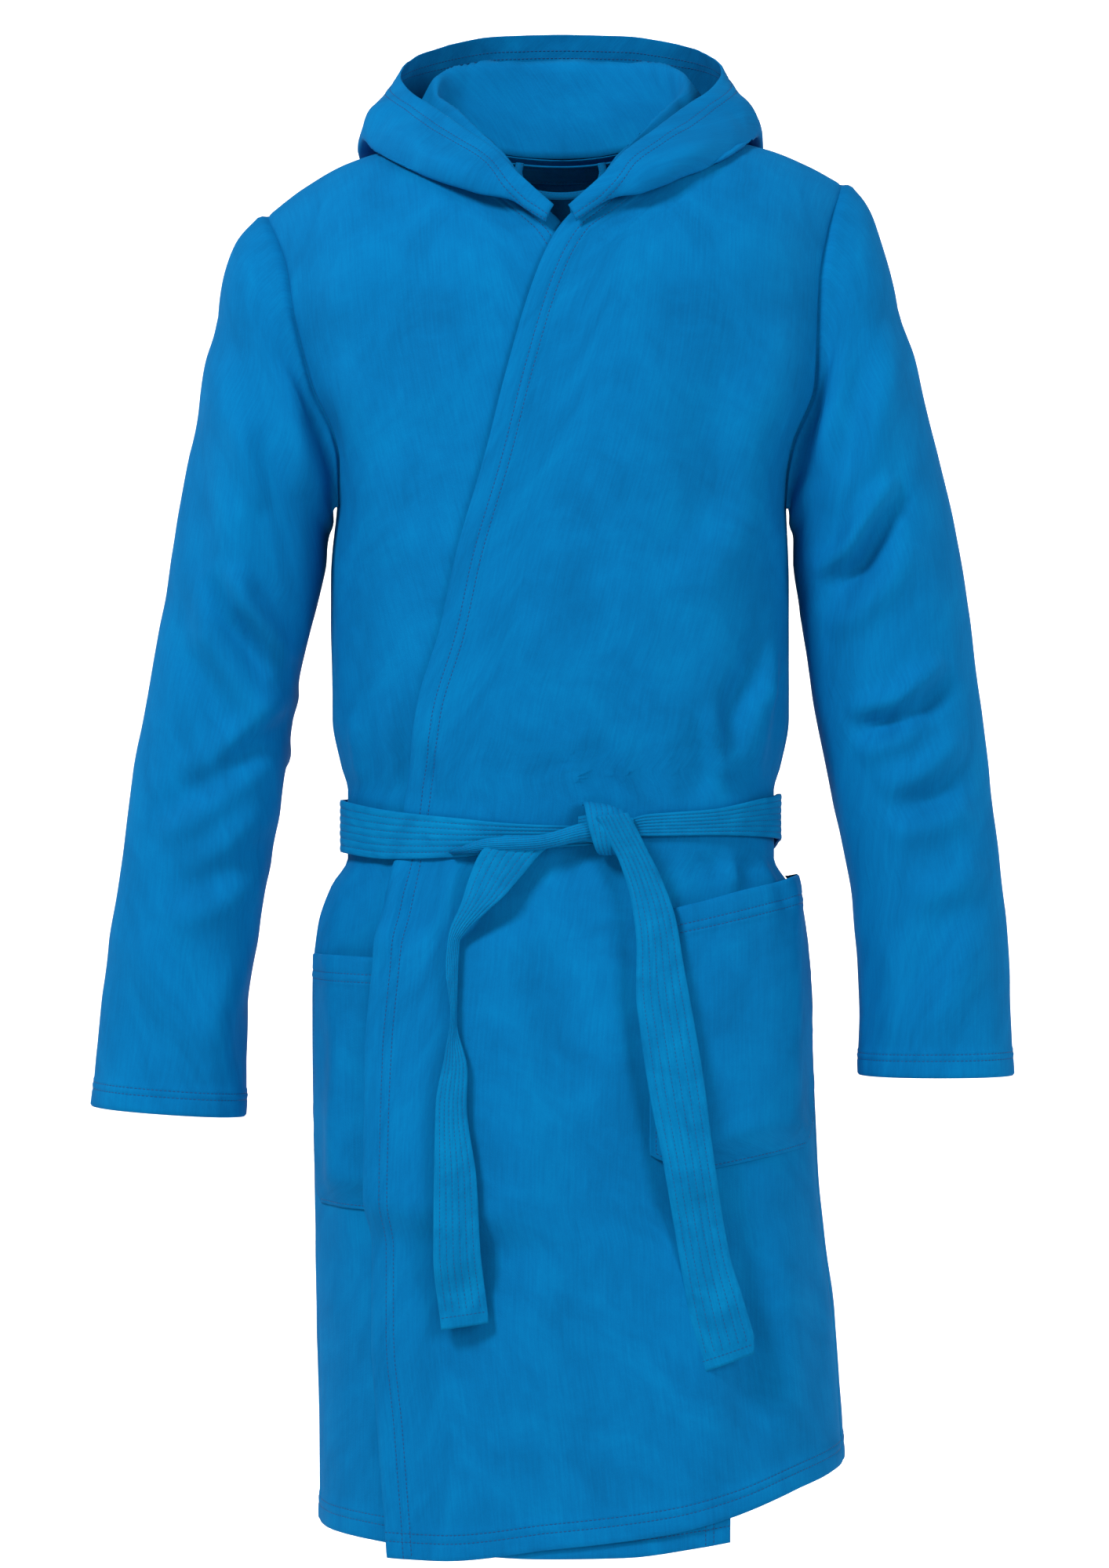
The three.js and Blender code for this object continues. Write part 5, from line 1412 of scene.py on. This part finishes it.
# Stations from the front notch round to the middle back: seam reach or x, then the points
# of the profile from the neckline up over the stand, down into the hollow and out to the rim.
HOOD_STATIONS = (
    (-1, ((8, -101, -50), (9, -104, -53), (11, -107, -60), (9, -109, -54), (5, -107, -47))),
    (0, ((30, -84, -25), (33, -93, -32), (36, -101, -43), (36, -104, -34), (31, -99, -23))),
    (0.28, ((41, -68, -7), (47, -80, -20), (56, -98, -39), (58, -100, -24), (45, -82, -6))),
    (0.58, ((56, -48, 10), (66, -58, -6), (80, -86, -29), (86, -86, -12), (67, -62, 12))),
    (0.84, ((74, -27, 29), (86, -36, 12), (117, -52, -12), (116, -50, 8), (84, -42, 27))),
    (0.93, ((83, -12, 38), (95, -18, 20), (134, -26, 2), (127, -26, 23), (95, -28, 36))),
    (1, ((90, 2, 46), (101, -2, 28), (144, 5, 14), (136, -6, 34), (106, -16, 44))),
    (76, ((89, 33, 64), (107, 36, 38), (146, 44, 0), (140, 44, 34), (118, 20, 64))),
    (70, ((78, 50, 72), (98, 74, 24), (118, 104, -40), (124, 112, 14), (104, 70, 86))),
    (60, ((60, 60, 77), (60, 98, 6), (60, 132, -96), (60, 156, -26), (60, 110, 103))),
    (30, ((30, 66, 79), (30, 103, 0), (30, 134, -128), (30, 166, -50), (30, 118, 106))),
    (0, ((0, 68, 80), (0, 105, -4), (0, 135, -140), (0, 169, -58), (0, 120, 107))),
)


@dataclass
class Hood:
    """The hood, down: two halves joined over the middle back, with a stitched rim."""

    finishes: Finishes
    rows: int = 84
    stations: int = 120
    rest: float = 3.0
    seam_rise: float = 0.2
    hem: TurnedHem = TurnedHem(12.0, 17.5, 18.5)

    def seam(self, side: Side, number: int) -> np.ndarray:
        """Place where a station of the hood is sewn to the neckline."""
        spot = HOOD_STATIONS[number][0]
        s = SIDE_FORMS[side]
        if spot < 0:
            return FORM.skin(FORM.angle_at(side.value * 9.0, -55.0), -55.0) + [0, -3, 0]
        if number <= 6:
            x = side.value * lerp(s.notch_reach + 1, FORM.neck_half - 1, spot)
            z = FORM.front_top(x)
            p = FORM.skin(FORM.angle_at(x, z), z)
        else:
            x = side.value * max(spot, 1e-6)
            z = FORM.back_top(x)
            p = FORM.skin(FORM.back_angle_at(x, z), z)
        return p + [0, 0, self.seam_rise]

    def controls(self, side: Side) -> np.ndarray:
        """Profile points of every station on one side."""
        lift = (SIDE_FORMS[side].neck_height - 16) * 0.6
        out = []
        for number, (_, points) in enumerate(HOOD_STATIONS):
            seam = self.seam(side, number)
            pts = [np.array([side.value * q[0], q[1],
                q[2] + lift * float(smooth(40, 110, q[0]))]) for q in points]
            out.append([seam, lerp(seam, pts[0], 0.55), *pts])
        return np.array(out)

    def lift_off(self, p: np.ndarray) -> np.ndarray:
        """Moves points off the shoulders and the back, to the hood's clearance."""
        p = p.copy()
        for _ in range(3):
            z = np.minimum(p[..., 2], FORM.roof(p[..., 0]) - 0.5)
            front = p[..., 1] < FORM.centre_y
            angle = np.where(front, FORM.angle_at(p[..., 0], z), FORM.back_angle_at(p[..., 0], z))
            n = FORM.normal(angle, z)
            over = front & (p[..., 0] > FORM.edge_x(Side.LEFT, z) - 6)
            cover = np.where(over, cover_offset(p[..., 0], z) + CLOTH, 0)
            depth = np.einsum("...k,...k->...", p - FORM.skin(angle, z), n) - cover
            near = (depth < self.rest) & (p[..., 2] < FORM.roof(p[..., 0]) + self.rest)
            p = p + n * np.where(near, self.rest - depth, 0)[..., None]
        return p

    def surface(self, side: Side) -> np.ndarray:
        """Smooth face of one half, as stations by rows from the seam to the rim."""
        controls = self.controls(side)
        share = np.linspace(0, len(HOOD_STATIONS) - 1, self.stations)
        profiles = spline(controls, share)
        grid = []
        for profile in profiles:
            dense = spline(profile, np.linspace(0, 6, 241))
            reach = np.concatenate([[0], np.cumsum(np.linalg.norm(np.diff(dense, axis=0), axis=1))])
            fit = min(1.0, 0.4 * reach[-1] / self.hem.width)
            marks = reach[-1] - np.array(self.hem.stations()) * fit
            body = np.linspace(0, min(marks) - 2 * fit, self.rows)
            spots = np.concatenate([body, np.sort(marks)])
            grid.append(np.stack([np.interp(spots, reach, dense[:, k]) for k in range(3)], -1))
        p = np.stack(grid)
        free = smooth(0.2, 0.35, np.arange(p.shape[1]) / p.shape[1])[None, :, None]
        return lerp(p, self.lift_off(p), free)

    def build(self) -> bpy.types.Object:
        """Makes and dresses the hood."""
        left, right = self.surface(Side.LEFT), self.surface(Side.RIGHT)
        p = np.concatenate([right, left[-2::-1]])
        # Rows run from the neckline seam to the rim, columns from notch to notch.
        p = p.transpose(1, 0, 2)
        middle = (p.shape[1] - 1) / 2
        rim = np.linalg.norm(np.diff(p, axis=0), axis=-1)
        to_rim = np.concatenate([np.cumsum(rim[::-1], 0)[::-1], np.zeros((1, p.shape[1]))])
        n = unit(np.cross(np.gradient(p, axis=1), np.gradient(p, axis=0)))
        end = n[-12, p.shape[1] // 2]
        if end[1] < 0:
            n = -n
        centre_seam = np.linalg.norm(p - p[:, int(middle):int(middle) + 1], axis=-1)
        rows = np.arange(p.shape[0])[:, None] / p.shape[0]
        marks = sorted(self.hem.stations(), reverse=True)
        from_edge = np.concatenate([np.full(p.shape[0] - len(marks), 99.0), marks])
        height = 1.5 * noise(p, 30, 41) + 0.7 * noise(p, 13, 42)
        height *= smooth(0.02, 0.14, rows) * lerp(0.4, 1, smooth(6, 40, to_rim))
        height += seam_dip(centre_seam * 0.9) * 0.8 + pucker(p, 0.35) * smooth(28, 6, from_edge)[:, None]
        face = n * height[..., None]
        outer = p + face
        outer = outer + n * np.maximum(self.hem.rise(from_edge)[:, None], -0.4)[..., None] * 0.8
        inner = p + face - n * SHEET
        grid = Grid(outer, inner)
        hood = sheet_object("Hood", grid, self.finishes.cloth)
        threads = Threads()
        normals = grid.normals()
        for line in (self.hem.near, self.hem.far):
            row = int(np.argmin(np.abs(from_edge - line)))
            threads.row(grid.outer[row], normals[row])
            threads.row(grid.inner[row], -normals[row])
        stitches = threads.build("Hood_stitches", self.finishes.thread)
        parts = ("side", "band", "crown", "crown_band")
        nodes = [f"hood_{part}_{side.label}" for side in Side for part in parts]
        dress(hood, stitches, CLOTH_SLOTS, nodes, "microfibre with a doubled rim", "hood_crown",
              ((0, 0.05, 0.02), (0, 0.112, 0.02)), flat=(0.72, 0.34), held="folded", rests_on=["Back_panel"],
              area=0.19)
        return hood


# ------------------------------------------------------------------ belt


@dataclass
class Belt:
    """The quilted belt: seven lengthwise ribs, round the waist, tied, with two hanging tails."""

    finishes: Finishes
    width: float = 38
    thickness: float = 2.6
    ribs: int = 7
    rib_swell: float = 0.55
    end_hem: float = 9
    gap: float = 1.0

    def profile(self, count: int = 57) -> tuple[np.ndarray, np.ndarray]:
        """Shares across the belt and the height of its ribs there."""
        share = np.linspace(0, 1, count)
        rib = np.abs(np.sin(np.pi * self.ribs * share)) ** 0.6
        edge = 1 - np.exp(-np.minimum(share, 1 - share) / 0.012)
        return share, self.rib_swell * rib * edge

    def ribbon(self, name: str, a: np.ndarray, b: np.ndarray, out: np.ndarray, curl: float = 0.0,
               end: bool = False) -> tuple[bpy.types.Object, bpy.types.Object]:
        """A length of belt between two edge lines.

        Args:
            name: the piece's name.
            a: (n, 3) points of one edge, on its rear face.
            b: (n, 3) points of the other edge.
            out: (n, 3) directions out of its face.
            curl: how far the middle stands out of the plane of the edges.
            end: whether its last rows are a turned end.
        Returns:
            The ribbon and its stitches.
        """
        share, rib = self.profile()
        flat = a[:, None] + (b - a)[:, None] * share[None, :, None]
        bow = curl * 4 * share * (1 - share)
        length = np.concatenate([[0], np.cumsum(np.linalg.norm(np.diff((a + b) / 2, axis=0), axis=1))])
        swell = rib[None, :] * np.ones((len(a), 1))
        if end:
            left = length[-1] - length
            plain = smooth(self.end_hem + 1.5, self.end_hem - 1, left)[:, None]
            swell = lerp(swell, 0.75, plain)
            swell = swell - 0.5 * np.exp(-(((left - self.end_hem) / 0.9) ** 2))[:, None]
        ripple = 0.25 * noise(flat, 12, 51) + 0.2 * noise(flat, 5, 52)
        n = out[:, None]
        outer = flat + n * (bow[None] + self.thickness - self.rib_swell + swell + ripple)[..., None]
        inner = flat + n * (bow[None] + ripple - 0.25 * swell)[..., None]
        grid = Grid(outer, inner)
        belt = sheet_object(name, grid, self.finishes.belt, turn=False)
        threads = Threads(pitch=2.9, length=2.1, width=0.26, rise=0.15)
        stop = len(a) if not end else int(np.searchsorted(length, length[-1] - self.end_hem))
        for k in range(1, self.ribs):
            col = int(round(k / self.ribs * (len(share) - 1)))
            threads.row(outer[:stop, col], n[:stop, 0])
        if end:
            row = min(stop, len(a) - 1)
            threads.row(outer[row, 1:-1], np.repeat(n[row], outer.shape[1] - 2, 0))
        stitches = threads.build(f"{name}_stitches", self.finishes.thread)
        return belt, stitches

    def waist_point(self, angle, z, offset) -> tuple[np.ndarray, np.ndarray]:
        """Point of the belt round the waist and the level direction out of it."""
        front = smooth(-0.1, 0.25, np.cos(angle))
        n = FORM.normal(angle, z)
        n[..., 2] = 0
        n = unit(n)
        p = FORM.skin(angle, -FORM.waist_drop)
        p[..., 2] = z
        return p + n * (lerp(self.gap, LAYER_GAP + CLOTH + self.gap, front) + offset)[..., None], n

    def wrap(self) -> None:
        """The part that goes round the waist, narrowing and sinking towards the knot."""
        top = curve(((-0.001, -482), (0.1, -477.5), (0.45, -474), (0.9, -466), (1.3, -463), (1.6, -466),
            (2.4, -467),
                     (3.14, -467), (3.9, -467), (4.7, -467.5), (4.9, -469), (5.35, -475), (5.75, -480),
                     (6.02, -484),
                     (6.25, -486)))
        low = curve(((-0.001, -492), (0.1, -493), (0.45, -492.5), (0.9, -494), (1.3, -497), (1.6, -504),
            (2.4, -505),
                     (3.14, -505), (3.9, -505), (4.7, -505), (4.9, -506), (5.35, -509.5), (5.75, -508),
                     (6.02, -503),
                     (6.25, -499)))
        start = float(FORM.angle_at(44, -FORM.waist_drop))
        stop = 2 * math.pi + float(FORM.angle_at(22, -FORM.waist_drop))
        angle = np.linspace(start, stop, 300)
        round_ = (angle - start) / (stop - start) * 6.25
        zero = np.zeros_like(angle)
        high, n = self.waist_point(angle, top(round_), zero)
        bottom, _ = self.waist_point(angle, low(round_), zero)
        belt, stitches = self.ribbon("Belt_wrap", high, bottom, n)
        dress(belt, stitches, BELT_SLOTS, ["belt_wrap"], QUILTED, **self.lying((0.04, 0.95)))

    @staticmethod
    def lying(flat: tuple[float, float]) -> dict:
        """Flat size, hold and support of a length of belt that lies on the robe."""
        return {"flat": flat, "held": "folded", "rests_on": ["Front_left"]}

    def strand(self) -> None:
        """The lower strand that crosses over the first tail and rises into the knot."""
        x = np.linspace(-76, 26, 60)
        high = curve(((-76, -503), (-49, -494), (-17, -492), (16, -483), (26, -481)))(x)
        low = curve(((-76, -505.5), (-63, -505), (-19, -503), (14, -496.5), (26, -495)))(x)
        angle = FORM.angle_at(x, -FORM.waist_drop)
        lift = 3.2 + 5.8 * smooth(-76, -30, x)
        a, n = self.waist_point(angle, high, lift)
        b, _ = self.waist_point(angle, low, lift - 0.6)
        belt, stitches = self.ribbon("Belt_strand", a, b, n, curl=3.2)
        dress(belt, stitches, BELT_SLOTS, [], QUILTED, **self.lying((0.015, 0.107)))

    def knot(self) -> None:
        """The knot: one end goes over the strands and down behind itself."""
        t = np.linspace(0, 1, 64)
        turn = np.pi * lerp(-0.1, 1.08, t)
        base, _ = self.waist_point(FORM.angle_at(np.array([30.0]), -FORM.waist_drop), np.array([-486.0]),
            np.array([0.0]))
        y0 = base[0, 1] - 7
        y = y0 - 9 * np.sin(turn)
        z = -488 + 14 * np.cos(turn)
        drift = lerp(0, 7, t)
        half = lerp(14, 9, smooth(0.3, 1, t))
        lean = lerp(3.5, -1.5, t)
        a = np.stack([29 + drift - half, y + 1.0 * np.sin(turn), z + lean], -1)
        b = np.stack([29 + drift + half, y, z - lean], -1)
        out = unit(np.stack([np.zeros_like(t), -np.sin(turn), np.cos(turn)], -1))
        belt, stitches = self.ribbon("Belt_knot", a, b, out, curl=1.8)
        dress(belt, stitches, BELT_SLOTS, ["belt_knot"], QUILTED, **self.lying((0.024, 0.058)))
        # The other end passes under, from the right, and fills the knot.
        x = np.linspace(12, 50, 40)
        angle = FORM.angle_at(x, -FORM.waist_drop)
        a, n = self.waist_point(angle, np.full(len(x), -478.5) - 2 * np.cos(x / 9),
            3.0 + 5 * np.sin((x - 12) / 38 * np.pi))
        b, _ = self.waist_point(angle, np.full(len(x), -497.5) + 1.5 * np.sin(x / 7),
            3.0 + 5 * np.sin((x - 12) / 38 * np.pi))
        core, stitches = self.ribbon("Belt_knot_core", a, b, n, curl=2.4)
        dress(core, stitches, BELT_SLOTS, [], QUILTED, **self.lying((0.02, 0.046)))

    def frontmost(self, x, z) -> np.ndarray:
        """Most forward y of all layers at a place, the over front and pockets included."""
        angle = FORM.angle_at(x, z)
        n = FORM.normal(angle, z)
        offset = np.where(x > FORM.edge_x(Side.LEFT, z) - 6, cover_offset(x, z) + CLOTH, 0)
        form = POCKET_FORMS[Side.LEFT]
        on_pocket = form.inside(Side.LEFT, x, z, 6) > -6
        offset = offset + np.where(on_pocket, form.room(Side.LEFT, x, z) + CLOTH + 0.8, 0)
        return (FORM.skin(angle, z) + n * offset[..., None])[..., 1]

    def tail(self, name: str, node: str, left: Table, right: Table, tuck: float, flat: tuple[float, float],
             fold: float = 0.0) -> None:
        """One hanging tail.

        Args:
            name: the piece's name.
            node: the body and solid that it stands for.
            left: (z, x) pairs of its edge on the viewer's left.
            right: the same on the viewer's right.
            tuck: how far its top lies forward of its hang.
            flat: the size of this length of belt; not used.
            fold: how far its narrow stretch bows forward.
        """
        top, bottom = left[0][0], left[-1][0]
        z = np.linspace(top, bottom, 170)
        flip = [(-row[0], row[1]) for row in left]
        flop = [(-row[0], row[1]) for row in right]
        tilt = (right[-1][0] - left[-1][0]) * smooth(top, bottom, z)
        tilt += (right[0][0] - left[0][0]) * (1 - smooth(top, bottom, z))
        xa, xb = curve(flip)(-z), curve(flop)(-z)
        za, zb = z, z + tilt
        y = np.full(len(z), 1e9)
        for share in np.linspace(-0.1, 1.1, 7):
            for dz in (-30, -15, 0, 15, 30):
                px = lerp(xa, xb, share)
                pz = lerp(za, zb, share) + dz
                here = self.frontmost(px, pz)
                waist, _ = self.waist_point(FORM.angle_at(px, -FORM.waist_drop), pz, np.full(len(z), 3.2))
                here = np.where(pz > -FORM.waist_drop - self.width / 2 - 4, np.minimum(here, waist[:, 1]),
                    here)
                y = np.minimum(y, here)
        kernel = np.hanning(15) / np.hanning(15).sum()
        y = np.convolve(np.pad(y, 7, mode="edge"), kernel, mode="valid") - 0.9
        y = y - tuck * smooth(top - 62, top - 8, z)
        narrow = np.clip(1 - (xb - xa) / self.width, 0, 1)
        a = np.stack([xa, y - 1.2 * narrow, za], -1)
        b = np.stack([xb, y, zb], -1)
        out = np.tile([0.0, -1.0, 0.0], (len(z), 1))
        belt, stitches = self.ribbon(name, a, b, out, curl=fold, end=True)
        place = (float(xa.mean()) * MM, float(y[0]) * MM)
        bend = ((*place, -0.499), (*place, -0.531))
        dress(belt, stitches, BELT_SLOTS, [node], "seven-rib quilted microfibre, turned end", node, bend,
              flat=flat, held="hung", rests_on=["Front_left"])

    def build(self) -> None:
        """Makes every length of the belt."""
        self.wrap()
        self.strand()
        self.knot()
        self.tail(
            "Belt_tail_right", "belt_tail_right",
            ((-492, -40), (-503, -56), (-520, -64), (-539, -70), (-562, -79), (-585, -81), (-601, -79.5),
            (-616, -77.5),
             (-645, -81.5), (-682, -88), (-786, -89.5), (-839, -84)),
            ((-492, 6), (-503, -12), (-520, -27), (-535, -40), (-546, -52), (-560, -66), (-567, -71),
            (-624, -73), (-660, -65.5),
             (-682, -66), (-738, -59), (-786, -56.5), (-834, -51)), 2.0, (0.034, 0.335), 1.5)
        self.tail(
            "Belt_tail_left", "belt_tail_left",
            ((-479, 25), (-490, 30), (-511, 41), (-540, 49.5), (-572, 53), (-601, 52.5), (-630, 55.5),
            (-674, 62), (-719, 71),
             (-795, 84), (-854, 95), (-869, 101)),
            ((-476, 45), (-488, 52), (-506, 61), (-523, 69.5), (-554, 80.5), (-587, 86), (-630, 93.5),
            (-674, 100.5), (-719, 106),
             (-799, 118.5), (-829, 127.5), (-856, 135.5)), 12.0, (0.038, 0.40), 2.2)


# ------------------------------------------------------------------ small pieces


@dataclass
class BeltLoop:
    """A narrow loop of folded cloth at a side seam, which the belt runs through."""

    side: Side
    finishes: Finishes
    width: float = 10
    height: float = 58
    around: float = 1.98

    def build(self) -> bpy.types.Object:
        """Makes and dresses the loop."""
        half = self.height / 2
        stand = 1 + 3.2 + 1.2
        outline = curve(((-half, 0.8), (-half + 6, 0.9), (-22, stand * 0.6), (-17, stand), (0, stand + 0.3),
            (17, stand),
                         (22, stand * 0.6), (half - 6, 0.9), (half, 0.8)))
        up = np.linspace(half, -half, 72)
        share = np.linspace(-1, 1, 13)
        angle = self.side.value * (self.around + share[None, :] * self.width / 2 / 120) + 0 * up[:, None]
        z = -FORM.waist_drop + up[:, None] + 0 * angle
        n = FORM.normal(angle, np.full_like(z, -FORM.waist_drop))
        n[..., 2] = 0
        n = unit(n)
        base = FORM.skin(angle, np.where(np.abs(up[:, None]) > 19, z, -FORM.waist_drop))
        base[..., 2] = z
        to_end = half - np.abs(up)
        ends = np.exp(-((to_end / 1.0) ** 2)) * 0.4 + np.exp(-(((to_end - 5) / 0.8) ** 2)) * 0.4
        groove = 0.35 * np.exp(-(((np.abs(share) - 0.68) / 0.1) ** 2))
        thick = 1.2 - groove[None, :] - ends[:, None] + 0.1 * noise(base, 5, 61)
        offset = outline(up)[:, None]
        grid = Grid(base + n * (offset + thick)[..., None], base + n * offset[..., None])
        label = self.side.label
        loop = sheet_object(f"Belt_loop_{label}", grid, self.finishes.hem)
        threads = Threads(pitch=2.6, length=1.9, width=0.26, rise=0.15)
        normals = grid.normals()
        for col in (2, 10):
            threads.row(grid.outer[:, col], normals[:, col])
        for row in (6, 65):
            threads.row(grid.outer[row], normals[row])
        stitches = threads.build(f"Belt_loop_{label}_stitches", self.finishes.thread)
        dress(loop, stitches, HEM_SLOTS, [f"belt_loop_{label}"], "folded microfibre",
              flat=(0.0105, 0.062), held="stretched", rests_on=["Back_panel"])
        return loop


@dataclass
class NeckTape:
    """A flat tape that covers the hood's seam inside the back neck."""

    finishes: Finishes
    half: float = 56
    height: float = 12
    seat: float = 0.8

    def build(self) -> bpy.types.Object:
        """Makes and dresses the tape."""
        x = np.linspace(-self.half, self.half, 90) + 1e-6
        down = np.linspace(2, 2 + self.height, 15)[:, None]
        z = FORM.back_top(x)[None, :] - down
        angle = FORM.back_angle_at(x[None, :] + 0 * z, z)
        p, n = FORM.skin(angle, z), FORM.normal(angle, z)
        edge = np.minimum(down - 2, 2 + self.height - down)
        groove = 0.3 * np.exp(-(((edge - 1.7) / 0.5) ** 2))
        face = -CLOTH - self.seat
        thick = 1.0 - groove + 0.08 * noise(p, 6, 71)
        grid = Grid(p + n * (face - thick)[..., None], p + n * (face + 0 * thick)[..., None])
        tape = sheet_object("Neck_tape", grid, self.finishes.hem, turn=True)
        threads = Threads(pitch=2.6, length=1.9, width=0.26, rise=0.15)
        normals = grid.normals()
        for row in (2, 12):
            threads.row(grid.outer[row], normals[row])
        stitches = threads.build("Neck_tape_stitches", self.finishes.thread)
        dress(tape, stitches, HEM_SLOTS, ["neck_tape"], "woven tape",
              flat=(0.018, 0.12), held="stretched", rests_on=["Back_panel"])
        return tape


@dataclass
class HangerLoop:
    """The loop inside the back neck that the robe hangs from."""

    finishes: Finishes
    width: float = 6

    def build(self) -> bpy.types.Object:
        """Makes and dresses the loop."""
        low, high = (np.array(c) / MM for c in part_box("hanger_loop"))
        rear, top, bottom = high[1], high[2], low[2]
        half = 30.0
        y = rear - 0.8
        path = spline(np.array([
            (-half, y, top - 1), (-half - 1, y - 0.6, top - 10), (-half + 6, y - 1.5, bottom + 8),
            (0, y - 2, bottom + 3.4), (half - 6, y - 1.5, bottom + 8), (half + 1, y - 0.6, top - 10),
            (half, y, top - 1)]), np.linspace(0, 6, 120))
        t = unit(np.gradient(path, axis=0))
        across = unit(np.stack([-t[:, 2], 0 * t[:, 0], t[:, 0]], -1))
        share = np.linspace(-0.5, 0.5, 11)
        flat = path[None] + share[:, None, None] * self.width * across[None]
        round_ = 1.1 * (1 - (2 * np.abs(share)) ** 4)[:,
            None] - 0.3 * np.exp(-(((np.abs(share) - 0.3) / 0.06) ** 2))[:, None]
        front = np.array([0, -1.0, 0])
        grid = Grid(flat + front * (0.2 + round_ + 0.06 * noise(flat, 4, 81))[..., None], flat + 0 * front)
        loop = sheet_object("Hanger_loop", grid, self.finishes.hem, turn=True)
        threads = Threads(pitch=2.4, length=1.7, width=0.22, rise=0.12)
        for row in (2, 8):
            threads.row(grid.outer[row], np.tile(front, (path.shape[0], 1)))
        stitches = threads.build("Hanger_loop_stitches", self.finishes.thread)
        dress(loop, stitches, HEM_SLOTS, ["hanger_loop"], "folded microfibre", "hanger_loop",
              flat=(0.01, 0.11), held="hung", rests_on=["Neck_tape"], area=0.00072)
        return loop


# ------------------------------------------------------------------ studio


@dataclass
class Studio:
    """A plain pale sweep, soft lights from the front and the camera."""

    floor_height: float = -1.5
    camera_place: tuple[float, float, float] = (-0.0046, -3.6, -0.456)
    lens: float = 113.7

    def light(self, name: str, place: tuple, target: tuple, size: float, watts: float) -> None:
        """One square soft box.

        Args:
            name: its name.
            place: where it hangs, in metres.
            target: what it points at.
            size: its width and height.
            watts: its power.
        """
        data = bpy.data.lights.new(name, "AREA")
        data.shape, data.size, data.energy = "SQUARE", size, watts
        lamp = bpy.data.objects.new(name, data)
        bpy.context.collection.objects.link(lamp)
        lamp.location = place
        aim = np.array(target) - np.array(place)
        lamp.rotation_euler = (math.atan2(math.hypot(aim[0], aim[1]), -aim[2]), 0,
            math.atan2(-aim[0], aim[1]))

    def build(self) -> None:
        """Makes the floor, the lights and the camera."""
        scene = bpy.context.scene
        scene.view_settings.view_transform = "Standard"
        paper = StudioPaper("background_paper").build()
        depth, bend, height, half = 5.6, 1.4, 5.5, 12.0
        turn = np.linspace(0, np.pi / 2, 24)
        line = [(-9.0, 0.0), (-3.0, 0.0), *zip(depth + bend * np.sin(turn), bend - bend * np.cos(turn)),
                (depth + bend, height)]
        top = np.array([[(x, y, self.floor_height + z) for x in (-half, half)] for y, z in line])
        sweep = sheet_object("Background_sweep", Grid(top / MM, (top - [0, -0.02, 0.02]) / MM), paper)
        world = bpy.data.worlds.new("Studio_world")
        scene.world = world
        world.use_nodes = True
        world.node_tree.nodes["Background"].inputs["Color"].default_value = linear("#FFFFFF")
        world.node_tree.nodes["Background"].inputs["Strength"].default_value = 0.30
        middle = (0.0, 0.0, -0.45)
        self.light("Key_light", (-1.9, -2.2, 1.9), middle, 0.9, 112)
        self.light("Fill_light", (2.6, -2.6, 0.8), middle, 1.6, 60)
        self.light("Rim_left", (-2.4, 0.8, 0.6), middle, 1.2, 14)
        self.light("Rim_right", (2.4, 0.8, 0.6), middle, 1.2, 14)
        self.light("Background_light", (0.0, 2.6, 3.0), (0, 7.0, 0.0), 3.0, 420)
        camera = bpy.data.objects.new("Camera", bpy.data.cameras.new("Camera"))
        bpy.context.collection.objects.link(camera)
        camera.location = self.camera_place
        camera.rotation_euler = (math.pi / 2, 0, 0)
        camera.data.lens = self.lens
        camera.data.sensor_width = 36
        scene.camera = camera
        log.info("studio: camera %.2f m in front of the robe", -self.camera_place[1])


def main() -> None:
    """Builds the robe and its studio in order."""
    logging.basicConfig(level=logging.INFO, format="%(name)s: %(message)s")
    Studio().build()
    finishes = Finishes.make()
    BackPanel(finishes).build()
    for side in Side:
        FrontPanel(side, finishes).build()
    for side in Side:
        Sleeve(side, finishes).build()
    for side in Side:
        Pocket(side, finishes).build()
    Hood(finishes).build()
    NeckTape(finishes).build()
    HangerLoop(finishes).build()
    for side in Side:
        BeltLoop(side, finishes).build()
    Belt(finishes).build()


if __name__ == "__main__":
    main()
